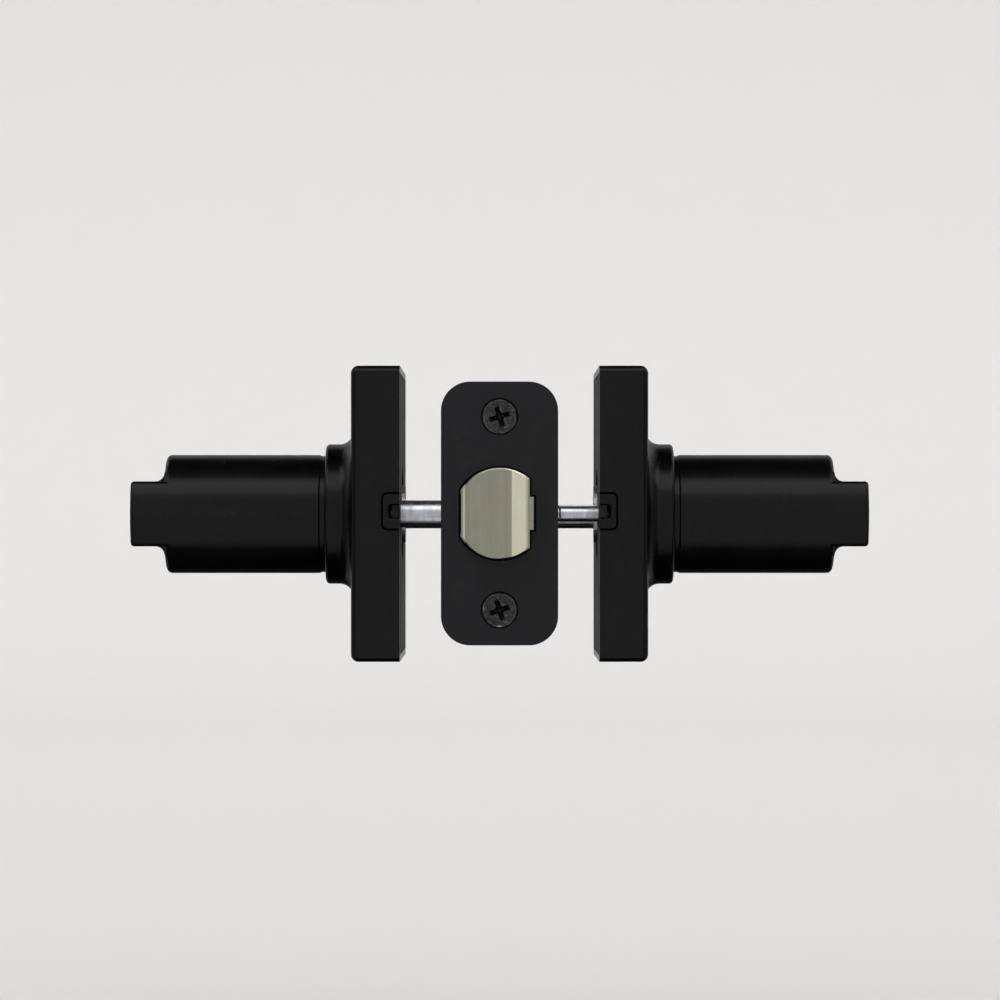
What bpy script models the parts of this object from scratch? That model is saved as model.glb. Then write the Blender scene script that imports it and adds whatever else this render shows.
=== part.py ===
"""Passage lever set: two square roses with levers, a D-section spindle and a tubular spring latch.

The origin is on the spindle's axis, in the middle of the door's thickness. +X points out of the door's right
face, -Y towards the door's edge and +Z up. Both sides are alike, so side pieces are written by their distance
from the door's middle, called `out`, and by `side`, which is -1 on the left and +1 on the right. Latch pieces
are written by their distance from the spindle towards the door's edge, called `reach`.
"""

import math

import bmesh
import bpy
from mathutils import Matrix

MM = 0.001
FIT = 0.3 * MM  # clearance between pieces that touch or turn in each other
SLIDE = 0.4 * MM  # clearance beside the retractor and what it passes

# Door
DOOR_THICKNESS = 44.45 * MM
BACKSET = 60.3 * MM  # spindle axis to the door's edge

# Rose cover
ROSE_SIZE = 66.0 * MM
ROSE_DEPTH = 10.9 * MM
ROSE_WALL = 1.5 * MM
ROSE_EDGE = 1.2 * MM
COLLAR_R = 16.0 * MM
COLLAR_HEIGHT = 6.6 * MM
COLLAR_EDGE = 0.9 * MM
COLLAR_FLARE = 2.0 * MM
SLOT_DEPTH = 2.4 * MM
SLOT_LOW, SLOT_HIGH = -1.1 * MM, 2.2 * MM

# Lever
NECK_R = 13.55 * MM
NECK_LENGTH = 54.0 * MM  # door face to the shoulder
NECK_EDGE = 1.2 * MM
BAR_HEIGHT = 14.8 * MM
BAR_DEPTH = 13.0 * MM
BAR_STEP = 7.6 * MM  # how far the bar stands proud of the shoulder
BAR_REACH = 112.0 * MM  # spindle axis to the bar's free end
BAR_EDGE = 1.0 * MM
SHOULDER_FILLET = 2.1 * MM
LUG_WIDTH = 5.0 * MM
LUG_HEIGHT = 3.4 * MM
SET_SCREW_R = 1.75 * MM
SET_SCREW_OUT = 27.8 * MM  # from the door's face
SET_SCREW_KEY = 1.1 * MM

# Mounting plate, bearing boss and stops
PLATE_THICK = 1.6 * MM
DISH_ROOM = 0.8 * MM  # round the retaining ring
DISH_DEPTH = 1.9 * MM
DISH_WALL = 1.5 * MM
BOSS_WALL = 1.8 * MM
BOSS_LENGTH = 21.8 * MM  # from the door's face
STOP_WIDTH = 3.0 * MM
LEVER_TURN = math.radians(60)

# Sleeve, spindle and retaining ring
SLEEVE_R = 6.5 * MM
SLEEVE_LENGTH = 34.8 * MM  # from the door's face
SLEEVE_TAIL = 0.7 * MM
SPINDLE_R = 3.3 * MM
SPINDLE_FLAT = 2.1 * MM  # axis to the flat
SPINDLE_LENGTH = 29.8 * MM  # from the door's face
RING_THICK = 0.9 * MM
RING_REACH = 3.1 * MM  # past the sleeve
GROOVE_DEPTH = 0.9 * MM

# Spring cam and return spring
CAM_THICK = 1.2 * MM
CAM_R = 13.2 * MM
ARM_TIP = 15.6 * MM
ARM_WIDTH = 4.0 * MM
ARM_DROP = 2.0 * MM
RETURN_WIRE_R = 0.55 * MM
RETURN_ROOM = 1.3 * MM  # boss to the coil
RETURN_TURNS = 2

# Posts and through screws
POST_SPACING = 38.1 * MM
POST_R = 3.05 * MM
POST_FLANGE_R = 4.0 * MM
POST_FLANGE = 1.2 * MM
POST_END = 6.0 * MM  # past the door's middle
THROUGH_SCREW_R = 2.05 * MM
THROUGH_SCREW_IN = 9.0 * MM  # how far each screw enters its post
THROUGH_HEAD_R = 3.9 * MM
THROUGH_CROWN_R = 2.73 * MM
THROUGH_HEAD = 2.2 * MM

# Faceplate, backplate and their screws
FACE_WIDTH = 25.4 * MM
FACE_HEIGHT = 57.15 * MM
FACE_CORNER = 6.35 * MM
FACE_THICK = 1.6 * MM
BACK_THICK = 1.2 * MM
BACK_INSET = 0.3 * MM
SCREW_SPACING = 41.9 * MM
SCREW_R = 2.0 * MM
SCREW_HEAD_R = 3.7 * MM
SINK_R = 4.1 * MM
SCREW_LENGTH = 19.0 * MM
RECESS_SPAN = 4.3 * MM
RECESS_ARM = 0.9 * MM
RECESS_DEPTH = 1.4 * MM
RECESS_TURN = math.radians(18)

# Bolt, latch tube and bolt spring
THROW = 12.7 * MM
BOLT_R = 9.85 * MM
BOLT_LEFT_CUT = 1.45 * MM  # depth of the flat on the bevel's side
BOLT_RIGHT_CUT = 3.35 * MM
BOLT_RIB = 1.0 * MM
RIB_HALF = 3.55 * MM
TIP_FROM = 2.8 * MM
BEVEL_START = 2.2 * MM  # bevel's foot in front of the door's edge
BEVEL_R = 17.0 * MM
BOLT_GUIDE = 6.3 * MM  # full-section length behind the door's edge
BOLT_TAIL = 10.6 * MM  # bolt's rear end behind the door's edge
TAIL_WALL = 1.1 * MM
CAVITY_END = 8.0 * MM  # cavity's blind end in front of the door's edge
LIP = 1.5 * MM
STEM_OFFSET = 1.2 * MM
TUBE_WALL = 1.25 * MM
BOLT_WIRE_R = 0.3 * MM
BOLT_COIL_TURNS = 4

# Latch case, hub and retractor
CASE_GAP = 5.0 * MM  # door's middle to each case plate
CASE_SHEET = 1.0 * MM
CASE_HALF = 10.8 * MM
CASE_REAR_WEB = 1.9 * MM  # sheet past the rear post
CASE_FRONT_WEB = 0.9 * MM  # sheet past the front post
CASE_FLANGE = 0.7 * MM
RIVET_R = 1.0 * MM
RIVET_SHANK_R = 0.6 * MM
RIVET_HEAD = 0.5 * MM
RIVET_EDGE = 1.4 * MM  # from the case's upper and lower edges
RIVET_REAR_INSET = 2.7 * MM
RIVET_FORWARD = 15.0 * MM  # front rivets from the spindle
HUB_R = 4.6 * MM
HUB_SHOULDER_R = 6.5 * MM
HUB_JOURNAL_R = 4.9 * MM
LOBE_R = 10.9 * MM  # axis to the centre of a lobe's tip
LOBE_TIP_R = 1.2 * MM
LOBE_THICK = 3.0 * MM
LOBE_LEAN = math.radians(12)
LOBE_WEB = 3.45 * MM  # web's root inside the hub's barrel
FOLLOWER_SLOPE = 0.69  # backward run per unit of height
FOLLOWER_REAR = 6.0 * MM
FOLLOWER_LOW = 6.0 * MM
RETRACTOR_HALF = 3.2 * MM
ARM_LOW = 5.0 * MM
ARM_ROOM = 1.1 * MM  # arms to the coil round them
BRIDGE = 1.5 * MM
EAR_FORWARD = 4.3 * MM
EAR_THICK = 0.8 * MM
EAR_HALF = 2.2 * MM
EAR_ARM = 1.2 * MM  # arms' thickness beside the bolt's tail
EAR_TRIM = 0.25 * MM  # ear's tip inside the bolt's radius
STEM_LIP = 1.4 * MM  # head past the stem, all round
STEM_ROOM = 0.6 * MM  # head to the cavity's wall
STEM_HEAD = 1.5 * MM
RETRACTOR_WIRE_R = 0.4 * MM
RETRACTOR_COIL_ROOM = 0.45 * MM  # coil to the tube
RETRACTOR_TURNS = 3

FINE, COARSE, SMALL = 48, 32, 16  # sides of round pieces that show, that don't, and of small ones

# Places worked out from the sizes above
FACE = DOOR_THICKNESS / 2
ROSE_FACE = FACE + ROSE_DEPTH
ROSE_INNER = ROSE_FACE - ROSE_WALL
COLLAR_TOP = ROSE_FACE + COLLAR_HEIGHT
SHOULDER = FACE + NECK_LENGTH
BAR_FACE = SHOULDER + BAR_STEP
NECK_START = ROSE_FACE - 2 * FIT
BOSS_BORE_R = SLEEVE_R + FIT
BOSS_R = BOSS_BORE_R + BOSS_WALL
RING_R = SLEEVE_R + RING_REACH
DISH_R = RING_R + DISH_ROOM
RETURN_COIL_R = BOSS_R + RETURN_ROOM + RETURN_WIRE_R
BOSS_END = FACE + BOSS_LENGTH
DISH_TOP = FACE + DISH_DEPTH + DISH_WALL
SLEEVE_END = FACE + SLEEVE_LENGTH
CAM_TOP = ROSE_INNER - FIT
CAM_LOW = CAM_TOP - CAM_THICK
POST_Y = POST_SPACING / 2
FACE_BACK = BACKSET - FACE_THICK
BACK_FRONT = FACE_BACK - FIT
BACK_REAR = BACK_FRONT - BACK_THICK
TUBE_BORE_R = BOLT_R + FIT
TUBE_R = TUBE_BORE_R + TUBE_WALL
BOLT_LEFT = BOLT_LEFT_CUT - BOLT_R
BOLT_RIGHT = BOLT_R - BOLT_RIGHT_CUT
RETRACTOR_COIL_R = TUBE_BORE_R - RETRACTOR_COIL_ROOM - RETRACTOR_WIRE_R
ARM_HIGH = RETRACTOR_COIL_R - RETRACTOR_WIRE_R - ARM_ROOM
EAR_HIGH = BOLT_R - EAR_TRIM
TAIL_R = ARM_HIGH - EAR_ARM - SLIDE
CAVITY_R = TAIL_R - STEM_OFFSET - TAIL_WALL
STEM_HEAD_R = CAVITY_R - STEM_ROOM
STEM_R = STEM_HEAD_R - STEM_LIP
CASE_REAR = POST_Y + POST_R + CASE_REAR_WEB
CASE_FRONT = POST_Y + POST_R + CASE_FRONT_WEB
TUBE_REAR = CASE_FRONT + FIT
RIVET_HIGH = CASE_HALF - RIVET_EDGE
RIVET_PLACES = ((-RIVET_FORWARD, RIVET_HIGH), (CASE_REAR - RIVET_REAR_INSET, RIVET_HIGH))
SCREW_Z = SCREW_SPACING / 2
BOLT_TIP = BACKSET + THROW
BOLT_SHOULDER = BACKSET - BOLT_GUIDE
BOLT_REAR = BACKSET - BOLT_TAIL
BRIDGE_REAR = POST_Y + POST_R + THROW + SLIDE
BRIDGE_FRONT = BRIDGE_REAR + BRIDGE
EAR_FRONT = BRIDGE_FRONT + EAR_FORWARD
HEAD_REAR = BOLT_REAR + LIP + FIT
HEAD_FRONT = HEAD_REAR + STEM_HEAD

SIDES = {"left": -1, "right": 1}
TURN = {
    "x": Matrix(((0, 0, 1), (1, 0, 0), (0, 1, 0))),  # local z along +X
    "-x": Matrix(((0, 0, -1), (-1, 0, 0), (0, 1, 0))),  # local z along -X
    "-y": Matrix(((1, 0, 0), (0, 0, -1), (0, 1, 0))),  # local z along -Y
}
DOWN = Matrix.Rotation(math.radians(90), 4, "Y")  # turns +X to -Z


def new_collection(name):
    made = bpy.data.collections.new(name)
    bpy.context.scene.collection.children.link(made)
    return made


def metal(name, colour, roughness, metallic=1.0):
    made = bpy.data.materials.new(name)
    made.use_nodes = True
    shader = made.node_tree.nodes["Principled BSDF"]
    shader.inputs["Base Color"].default_value = (*colour, 1)
    shader.inputs["Roughness"].default_value = roughness
    shader.inputs["Metallic"].default_value = metallic
    return made


for startup in list(bpy.data.objects):
    bpy.data.objects.remove(startup)
PARTS = new_collection("lever_set")
CUTTERS = new_collection("cutters")
CUTTERS.hide_render = True


# Shapes


def add(name, mesh, matrix=None):
    """A mesh as a tool object: it cuts or joins others until `finish` makes it a part."""
    made = bpy.data.objects.new(name, mesh)
    made.matrix_world = matrix or Matrix()
    made.hide_render = True
    made.display_type = "WIRE"
    CUTTERS.objects.link(made)
    return made


def from_bmesh(name, shape, matrix=None):
    mesh = bpy.data.meshes.new(name)
    shape.to_mesh(mesh)
    shape.free()
    return add(name, mesh, matrix)


def box(name, low, high, rounding=0.0, flat_side=None):
    """A box between two corners. Its edges are rounded, except round the side named by (axis, place)."""
    low, high = [min(p) for p in zip(low, high)], [max(p) for p in zip(low, high)]
    shape = bmesh.new()
    bmesh.ops.create_cube(shape, size=1)
    for vert in shape.verts:
        for axis in range(3):
            vert.co[axis] *= high[axis] - low[axis]
    centre = [(a + b) / 2 for a, b in zip(low, high)]
    if rounding:
        edges = shape.edges[:]
        if flat_side:
            axis, place = flat_side
            edges = [
                e for e in edges
                if any(abs(v.co[axis] + centre[axis] - place) > 1e-7 for v in e.verts)
            ]
        bmesh.ops.bevel(
            shape, geom=edges, offset=rounding, segments=3, profile=0.5, affect="EDGES"
        )
    return from_bmesh(name, shape, Matrix.Translation(centre))


def rod(name, radius, axis, start, end, at=(0, 0), sides=COARSE, end_radius=None):
    """A cylinder or cone along an axis of TURN, from start to end; `at` is its place across the axis."""
    shape = bmesh.new()
    bmesh.ops.create_cone(
        shape, cap_ends=True, segments=sides, radius1=radius,
        radius2=radius if end_radius is None else end_radius, depth=end - start,
    )
    turn = TURN[axis].to_4x4()
    return from_bmesh(name, shape, place(axis, (start + end) / 2, at) @ turn)


def place(axis, along, at):
    """The point at `along` on an axis, moved across it by `at`: (y, z) for x axes and (x, z) for -y."""
    if axis == "-y":
        return Matrix.Translation((at[0], -along, at[1]))
    return Matrix.Translation((along if axis == "x" else -along, at[0], at[1]))


def turned(name, profile, axis, at=(0, 0), sides=COARSE, ring=False):
    """A turned piece from (radius, along) pairs that run down its outer side."""
    mesh = bpy.data.meshes.new(name)
    links = [(i, i + 1) for i in range(len(profile) - 1)]
    if ring:
        links.append((len(profile) - 1, 0))
    mesh.from_pydata([(radius, 0, along) for radius, along in profile], links, [])
    made = add(name, mesh, place(axis, 0, at) @ TURN[axis].to_4x4())
    screw = made.modifiers.new("turn", "SCREW")
    screw.steps = screw.render_steps = sides
    screw.use_merge_vertices = True
    screw.merge_threshold = 0.000001
    return made


def arc(centre, radius, start, end, steps=4):
    """Points on an arc, with its angles in degrees."""
    angles = [math.radians(start + (end - start) * i / steps) for i in range(steps + 1)]
    return [(centre[0] + radius * math.cos(a), centre[1] + radius * math.sin(a)) for a in angles]


def sheet(name, outline, thickness, matrix):
    """A flat outline, filled and as thick as given about its own plane, as a mesh."""
    curve = bpy.data.curves.new(name, "CURVE")
    curve.dimensions = "2D"
    curve.fill_mode = "BOTH"
    curve.extrude = thickness / 2
    spline = curve.splines.new("POLY")
    spline.points.add(len(outline) - 1)
    for point, (across, up) in zip(spline.points, outline):
        point.co = (across, up, 0, 1)
    spline.use_cyclic_u = True
    return curve_to_mesh(name, curve, matrix)


def curve_to_mesh(name, curve, matrix):
    drawn = bpy.data.objects.new(name, curve)
    bpy.context.scene.collection.objects.link(drawn)
    graph = bpy.context.evaluated_depsgraph_get()
    mesh = bpy.data.meshes.new_from_object(drawn.evaluated_get(graph))
    bpy.data.objects.remove(drawn)
    shape = bmesh.new()
    shape.from_mesh(mesh)
    bmesh.ops.remove_doubles(shape, verts=shape.verts, dist=0.000001)
    bmesh.ops.recalc_face_normals(shape, faces=shape.faces)
    shape.to_mesh(mesh)
    shape.free()
    return add(name, mesh, matrix)


def sheet_along_x(name, outline, low, high):
    """An outline of (y, z) points, from one x to another."""
    matrix = Matrix.Translation(((low + high) / 2, 0, 0)) @ TURN["x"].to_4x4()
    return sheet(name, outline, abs(high - low), matrix)


def sheet_along_y(name, outline, low, high):
    """An outline of (x, z) points, from one y to another."""
    matrix = Matrix.Translation((0, (low + high) / 2, 0)) @ TURN["-y"].to_4x4()
    return sheet(name, outline, abs(high - low), matrix)


def wire(name, points, radius):
    """A round wire along points, as a curve object."""
    curve = bpy.data.curves.new(name, "CURVE")
    curve.dimensions = "3D"
    curve.bevel_depth = radius
    curve.bevel_resolution = 2
    curve.use_fill_caps = True
    spline = curve.splines.new("POLY")
    spline.points.add(len(points) - 1)
    for point, where in zip(spline.points, points):
        point.co = (*where, 1)
    return curve_to_mesh(name, curve, Matrix())


def combine(piece, tool, operation):
    step = piece.modifiers.new(tool.name, "BOOLEAN")
    step.operation = operation
    step.object = tool
    step.solver = "EXACT"
    return piece


def join(piece, *tools):
    for tool in tools:
        combine(piece, tool, "UNION")


def cut(piece, *tools):
    for tool in tools:
        combine(piece, tool, "DIFFERENCE")


def finish(piece, finish_material, axis=None):
    """Makes a tool object a part, carried by the empty on its joint's axis where it moves."""
    CUTTERS.objects.unlink(piece)
    PARTS.objects.link(piece)
    piece.hide_render = False
    piece.display_type = "TEXTURED"
    piece.data.materials.append(finish_material)
    piece.data.shade_smooth()
    piece.data.set_sharp_from_angle(angle=math.radians(30))
    piece.parent = axis


def joint_axis(name, parent=None):
    made = bpy.data.objects.new(name, None)
    made.empty_display_size = 0.02
    made.parent = parent
    PARTS.objects.link(made)
    return made


def rounded_outline(width, height, corner, steps=6):
    across, up = width / 2 - corner, height / 2 - corner
    outline = []
    for x, z, start in ((across, up, 0), (-across, up, 90), (-across, -up, 180), (across, -up, 270)):
        outline += arc((x, z), corner, start, start + 90, steps)
    return outline


def d_outline(radius, flat):
    """A circle with its top cut off by a flat."""
    edge = math.degrees(math.asin(flat / radius))
    return arc((0, 0), radius, 180 - edge, 360 + edge, 16)


def bolt_outline(grow):
    """The bolt's cross-section, with its guide rib, grown by a clearance."""
    radius, left, right = BOLT_R + grow, BOLT_LEFT - grow, BOLT_RIGHT + grow
    right_edge = math.degrees(math.acos(right / radius))
    left_edge = math.degrees(math.acos(left / radius))
    rib, half = right + BOLT_RIB, RIB_HALF + grow
    return (
        arc((0, 0), radius, right_edge, left_edge, 8)
        + arc((0, 0), radius, -left_edge, -right_edge, 8)
        + [(right, -half), (rib, -half), (rib, half), (right, half)]
    )


# Side pieces


def rose_cover(label, side):
    half = ROSE_SIZE / 2
    cover = box(
        f"{label}_rose_cover", (side * FACE, -half, -half), (side * ROSE_FACE, half, half),
        ROSE_EDGE, (0, side * FACE),
    )
    edge = COLLAR_R - COLLAR_EDGE, COLLAR_TOP - COLLAR_EDGE
    flare = COLLAR_R + COLLAR_FLARE, ROSE_FACE + COLLAR_FLARE
    collar = turned(
        f"{label}_collar",
        [(0, COLLAR_TOP)]
        + arc(edge, COLLAR_EDGE, 90, 0)
        + arc(flare, COLLAR_FLARE, 180, 270)
        + [(flare[0], ROSE_FACE - ROSE_WALL / 2), (0, ROSE_FACE - ROSE_WALL / 2)],
        "x" if side > 0 else "-x", sides=FINE,
    )
    inner = half - ROSE_WALL
    hollow = box(
        f"{label}_rose_hollow", (side * (FACE - ROSE_WALL), -inner, -inner),
        (side * ROSE_INNER, inner, inner),
    )
    bore = rod(
        f"{label}_collar_bore", NECK_R + FIT, "x" if side > 0 else "-x",
        FACE, COLLAR_TOP + ROSE_WALL, sides=FINE,
    )
    join(cover, collar)
    cut(cover, hollow, bore)
    for name, end in (("front", -1), ("rear", 1)):
        cut(cover, box(
            f"{label}_slot_{name}", (side * (FACE - ROSE_WALL), end * (inner - ROSE_WALL), SLOT_LOW),
            (side * (FACE + SLOT_DEPTH), end * (half + ROSE_WALL), SLOT_HIGH),
        ))
    finish(cover, MATT_BLACK)


def mounting_plate(label, side):
    axis = "x" if side > 0 else "-x"
    half = ROSE_SIZE / 2 - ROSE_WALL - FIT
    top = FACE + PLATE_THICK
    plate = box(f"{label}_mounting_plate", (side * FACE, -half, -half), (side * top, half, half))
    boss = turned(
        f"{label}_boss",
        [
            (0, BOSS_END), (BOSS_R, BOSS_END), (BOSS_R, DISH_TOP), (DISH_R + DISH_WALL, DISH_TOP),
            (DISH_R + DISH_WALL, FACE + PLATE_THICK / 2), (0, FACE + PLATE_THICK / 2),
        ],
        axis,
    )
    join(plate, boss)
    cut(
        plate,
        rod(f"{label}_dish", DISH_R, axis, FACE - PLATE_THICK, FACE + DISH_DEPTH),
        rod(f"{label}_boss_bore", BOSS_BORE_R, axis, FACE, BOSS_END + PLATE_THICK),
    )
    # the tab that both spring legs close on, and the stops for the cam's arm
    low = FACE + PLATE_THICK / 2
    join(plate, box(
        f"{label}_spring_tab", (side * low, -ARM_WIDTH / 2, CAM_R),
        (side * (CAM_LOW - ARM_DROP - FIT), ARM_WIDTH / 2, ARM_TIP),
    ))
    middle = (CAM_R + ARM_TIP) / 2
    turn = LEVER_TURN + math.asin((ARM_WIDTH / 2 + STOP_WIDTH / 2 + FIT) / middle)
    for name, sign in (("up", 1), ("down", -1)):
        stop = box(
            f"{label}_stop_{name}", (side * low, -STOP_WIDTH / 2, CAM_R + FIT),
            (side * (CAM_LOW - FIT), STOP_WIDTH / 2, ARM_TIP),
        )
        stop.matrix_world = Matrix.Rotation(sign * turn, 4, "X") @ stop.matrix_world
        join(plate, stop)
    hole = POST_R + FIT if side < 0 else THROUGH_SCREW_R + FIT
    for name, end in (("front", -1), ("rear", 1)):
        cut(plate, rod(
            f"{label}_{name}_hole", hole, axis, FACE - PLATE_THICK, top + PLATE_THICK,
            (end * POST_Y, 0),
        ))
        join(plate, box(
            f"{label}_tab_{name}", (side * FACE, end * (half - PLATE_THICK), SLOT_LOW + FIT),
            (side * top, end * (half + ROSE_WALL), SLOT_HIGH - FIT),
        ))
    finish(plate, MATT_BLACK)


def spring_cam(label, side, axis_empty):
    bore = BOSS_R + FIT
    cam = turned(
        f"{label}_spring_cam",
        [(bore, CAM_TOP), (CAM_R, CAM_TOP), (CAM_R, CAM_LOW), (bore, CAM_LOW)],
        "x" if side > 0 else "-x", ring=True,
    )
    join(cam, box(
        f"{label}_cam_arm", (side * CAM_TOP, -ARM_WIDTH / 2, CAM_R - CAM_THICK),
        (side * CAM_LOW, ARM_WIDTH / 2, ARM_TIP),
    ))
    join(cam, box(
        f"{label}_cam_drop", (side * (CAM_LOW + CAM_THICK / 2), -ARM_WIDTH / 2, CAM_R + FIT),
        (side * (CAM_LOW - ARM_DROP), ARM_WIDTH / 2, ARM_TIP),
    ))
    for name, end in (("front", -1), ("rear", 1)):
        cut(cam, box(
            f"{label}_cam_notch_{name}",
            (side * (CAM_LOW - FIT), end * (bore + 2 * FIT), -LUG_WIDTH / 2 - FIT),
            (side * (CAM_TOP + FIT), end * (CAM_R + CAM_THICK), LUG_WIDTH / 2 + FIT),
        ))
    finish(cam, STEEL, axis_empty)


def return_spring(label, side):
    """Torsion spring round the boss; its two legs stand each side of the plate's tab and the cam's arm."""
    first = DISH_TOP + FIT + RETURN_WIRE_R
    last = CAM_LOW - FIT - RETURN_WIRE_R
    leg_y = ARM_WIDTH / 2 + FIT + RETURN_WIRE_R
    lean = math.asin(leg_y / RETURN_COIL_R)
    turns = 2 * math.pi * RETURN_TURNS + 2 * lean
    steps = 14 * RETURN_TURNS
    points = [(side * first, -leg_y, ARM_TIP)]
    for i in range(steps + 1):
        angle = -lean + turns * i / steps
        points.append((
            side * (first + (last - first) * i / steps),
            RETURN_COIL_R * math.sin(angle), RETURN_COIL_R * math.cos(angle),
        ))
    points.append((side * last, leg_y, ARM_TIP))
    finish(wire(f"{label}_return_spring", points, RETURN_WIRE_R), SPRING_STEEL)


def drive_sleeve(label, side, axis_empty):
    ring = FACE + DISH_DEPTH - FIT
    groove = ring - RING_THICK - FIT
    inner = SLEEVE_R - GROOVE_DEPTH
    sleeve = turned(
        f"{label}_drive_sleeve",
        [
            (0, SLEEVE_END), (SLEEVE_R, SLEEVE_END), (SLEEVE_R, ring + FIT), (inner, ring + FIT),
            (inner, groove), (SLEEVE_R, groove), (SLEEVE_R, FACE - SLEEVE_TAIL),
            (0, FACE - SLEEVE_TAIL),
        ],
        "x" if side > 0 else "-x",
    )
    outline = d_outline(SPINDLE_R + FIT, SPINDLE_FLAT + FIT)
    cut(sleeve, sheet_along_x(
        f"{label}_sleeve_bore", outline, side * (FACE - FIT - SLEEVE_TAIL), side * (SLEEVE_END + FIT)
    ))
    finish(sleeve, STEEL, axis_empty)

    clip = turned(
        f"{label}_retaining_ring",
        [
            (inner + FIT, ring), (RING_R, ring), (RING_R, ring - RING_THICK),
            (inner + FIT, ring - RING_THICK),
        ],
        "x" if side > 0 else "-x", ring=True,
    )
    cut(clip, box(
        f"{label}_ring_gap", (side * (ring - 2 * RING_THICK), -inner, 0),
        (side * (ring + RING_THICK), inner, -2 * RING_R),
    ))
    finish(clip, SPRING_STEEL, axis_empty)


def lever(label, side, axis_empty):
    axis = "x" if side > 0 else "-x"
    bearing, socket = BOSS_R + FIT, SLEEVE_R + FIT
    edge = NECK_R - NECK_EDGE, SHOULDER - NECK_EDGE
    piece = turned(
        f"{label}_lever",
        [(0, SLEEVE_END + FIT), (socket, SLEEVE_END + FIT), (socket, BOSS_END + FIT)]
        + [(bearing, BOSS_END + FIT), (bearing, NECK_START), (NECK_R, NECK_START)]
        + list(reversed([(0, SHOULDER)] + arc(edge, NECK_EDGE, 90, 0))),
        axis, sides=FINE,
    )
    piece.modifiers["turn"].use_normal_flip = True

    # bar: its heel follows the neck's round, and the part inside the neck is left out
    half = BAR_HEIGHT / 2
    heel = math.degrees(math.asin(half / NECK_R))
    outline = arc((0, 0), NECK_R, 180 + heel, 180 - heel, 10) + [(BAR_REACH, half), (BAR_REACH, -half)]
    inner = BAR_FACE - BAR_DEPTH
    bar = sheet_along_x(f"{label}_bar", outline, side * inner, side * BAR_FACE)
    weld = bar.modifiers.new("weld", "WELD")
    weld.merge_threshold = 0.000001
    edges = bar.modifiers.new("edges", "BEVEL")
    edges.width = BAR_EDGE
    edges.segments = 3
    edges.limit_method = "ANGLE"
    edges.angle_limit = math.radians(40)
    cut(bar, box(
        f"{label}_bar_core", (side * (inner - FIT), -NECK_R - FIT, -NECK_R),
        (side * (SHOULDER - NECK_EDGE / 2), NECK_R / 2, NECK_R),
    ))
    join(piece, bar)

    # fillets between the shoulder and the bar
    run = NECK_R * math.cos(math.asin((half + SHOULDER_FILLET) / NECK_R)) - FIT
    for name, sign in (("upper", 1), ("lower", -1)):
        centre = SHOULDER + SHOULDER_FILLET, half + SHOULDER_FILLET
        hollow = arc(centre, SHOULDER_FILLET, 180, 270, 5)
        corner = [(SHOULDER + SHOULDER_FILLET, half - NECK_EDGE), (SHOULDER - NECK_EDGE, half - NECK_EDGE)]
        corner += [(SHOULDER - NECK_EDGE, half + SHOULDER_FILLET)]
        join(piece, sheet_along_y(
            f"{label}_fillet_{name}",
            [(side * out, sign * up) for out, up in hollow + corner], -run, run,
        ))

    # lugs that turn the spring cam
    for name, end in (("front", -1), ("rear", 1)):
        join(piece, box(
            f"{label}_lug_{name}",
            (side * (NECK_START - LUG_HEIGHT + 2 * FIT), end * (bearing + 3 * FIT), -LUG_WIDTH / 2),
            (side * (NECK_START + LUG_HEIGHT / 2), end * (CAM_R - FIT), LUG_WIDTH / 2),
        ))
    hole_out = FACE + SET_SCREW_OUT
    tip, end = SLEEVE_R + FIT, NECK_R - 2 * FIT
    hole = rod(f"{label}_set_hole", SET_SCREW_R + FIT, "x", SLEEVE_R, NECK_R + FIT, sides=SMALL)
    hole.matrix_world = Matrix.Translation((side * hole_out, 0, 0)) @ DOWN @ hole.matrix_world
    cut(piece, hole)
    finish(piece, MATT_BLACK, axis_empty)

    grub = rod(f"{label}_set_screw", SET_SCREW_R, "x", tip, end, sides=SMALL)
    grub.matrix_world = Matrix.Translation((side * hole_out, 0, 0)) @ DOWN @ grub.matrix_world
    key = rod(f"{label}_key", SET_SCREW_KEY, "x", end - 2 * SET_SCREW_KEY, end + FIT, sides=6)
    key.matrix_world = Matrix.Translation((side * hole_out, 0, 0)) @ DOWN @ key.matrix_world
    cut(grub, key)
    finish(grub, STEEL, axis_empty)


# Pieces through the door


def spindle(axis_empty):
    end = FACE + SPINDLE_LENGTH
    bar = sheet_along_x("spindle", d_outline(SPINDLE_R, SPINDLE_FLAT), -end, end)
    finish(bar, STEEL, axis_empty)


def cross_recess(name, axis, top, at, span, arm, depth, turn=0.0):
    """Two crossed slots that open at `top` on an axis."""
    slots = []
    for label, across, up in (("level", span, arm), ("upright", arm, span)):
        slot = box(f"{name}_{label}", (-across / 2, -up / 2, -depth), (across / 2, up / 2, depth))
        spin = Matrix.Rotation(turn, 4, "Z")
        slot.matrix_world = place(axis, top, at) @ TURN[axis].to_4x4() @ spin @ slot.matrix_world
        slots.append(slot)
    return slots


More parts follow.
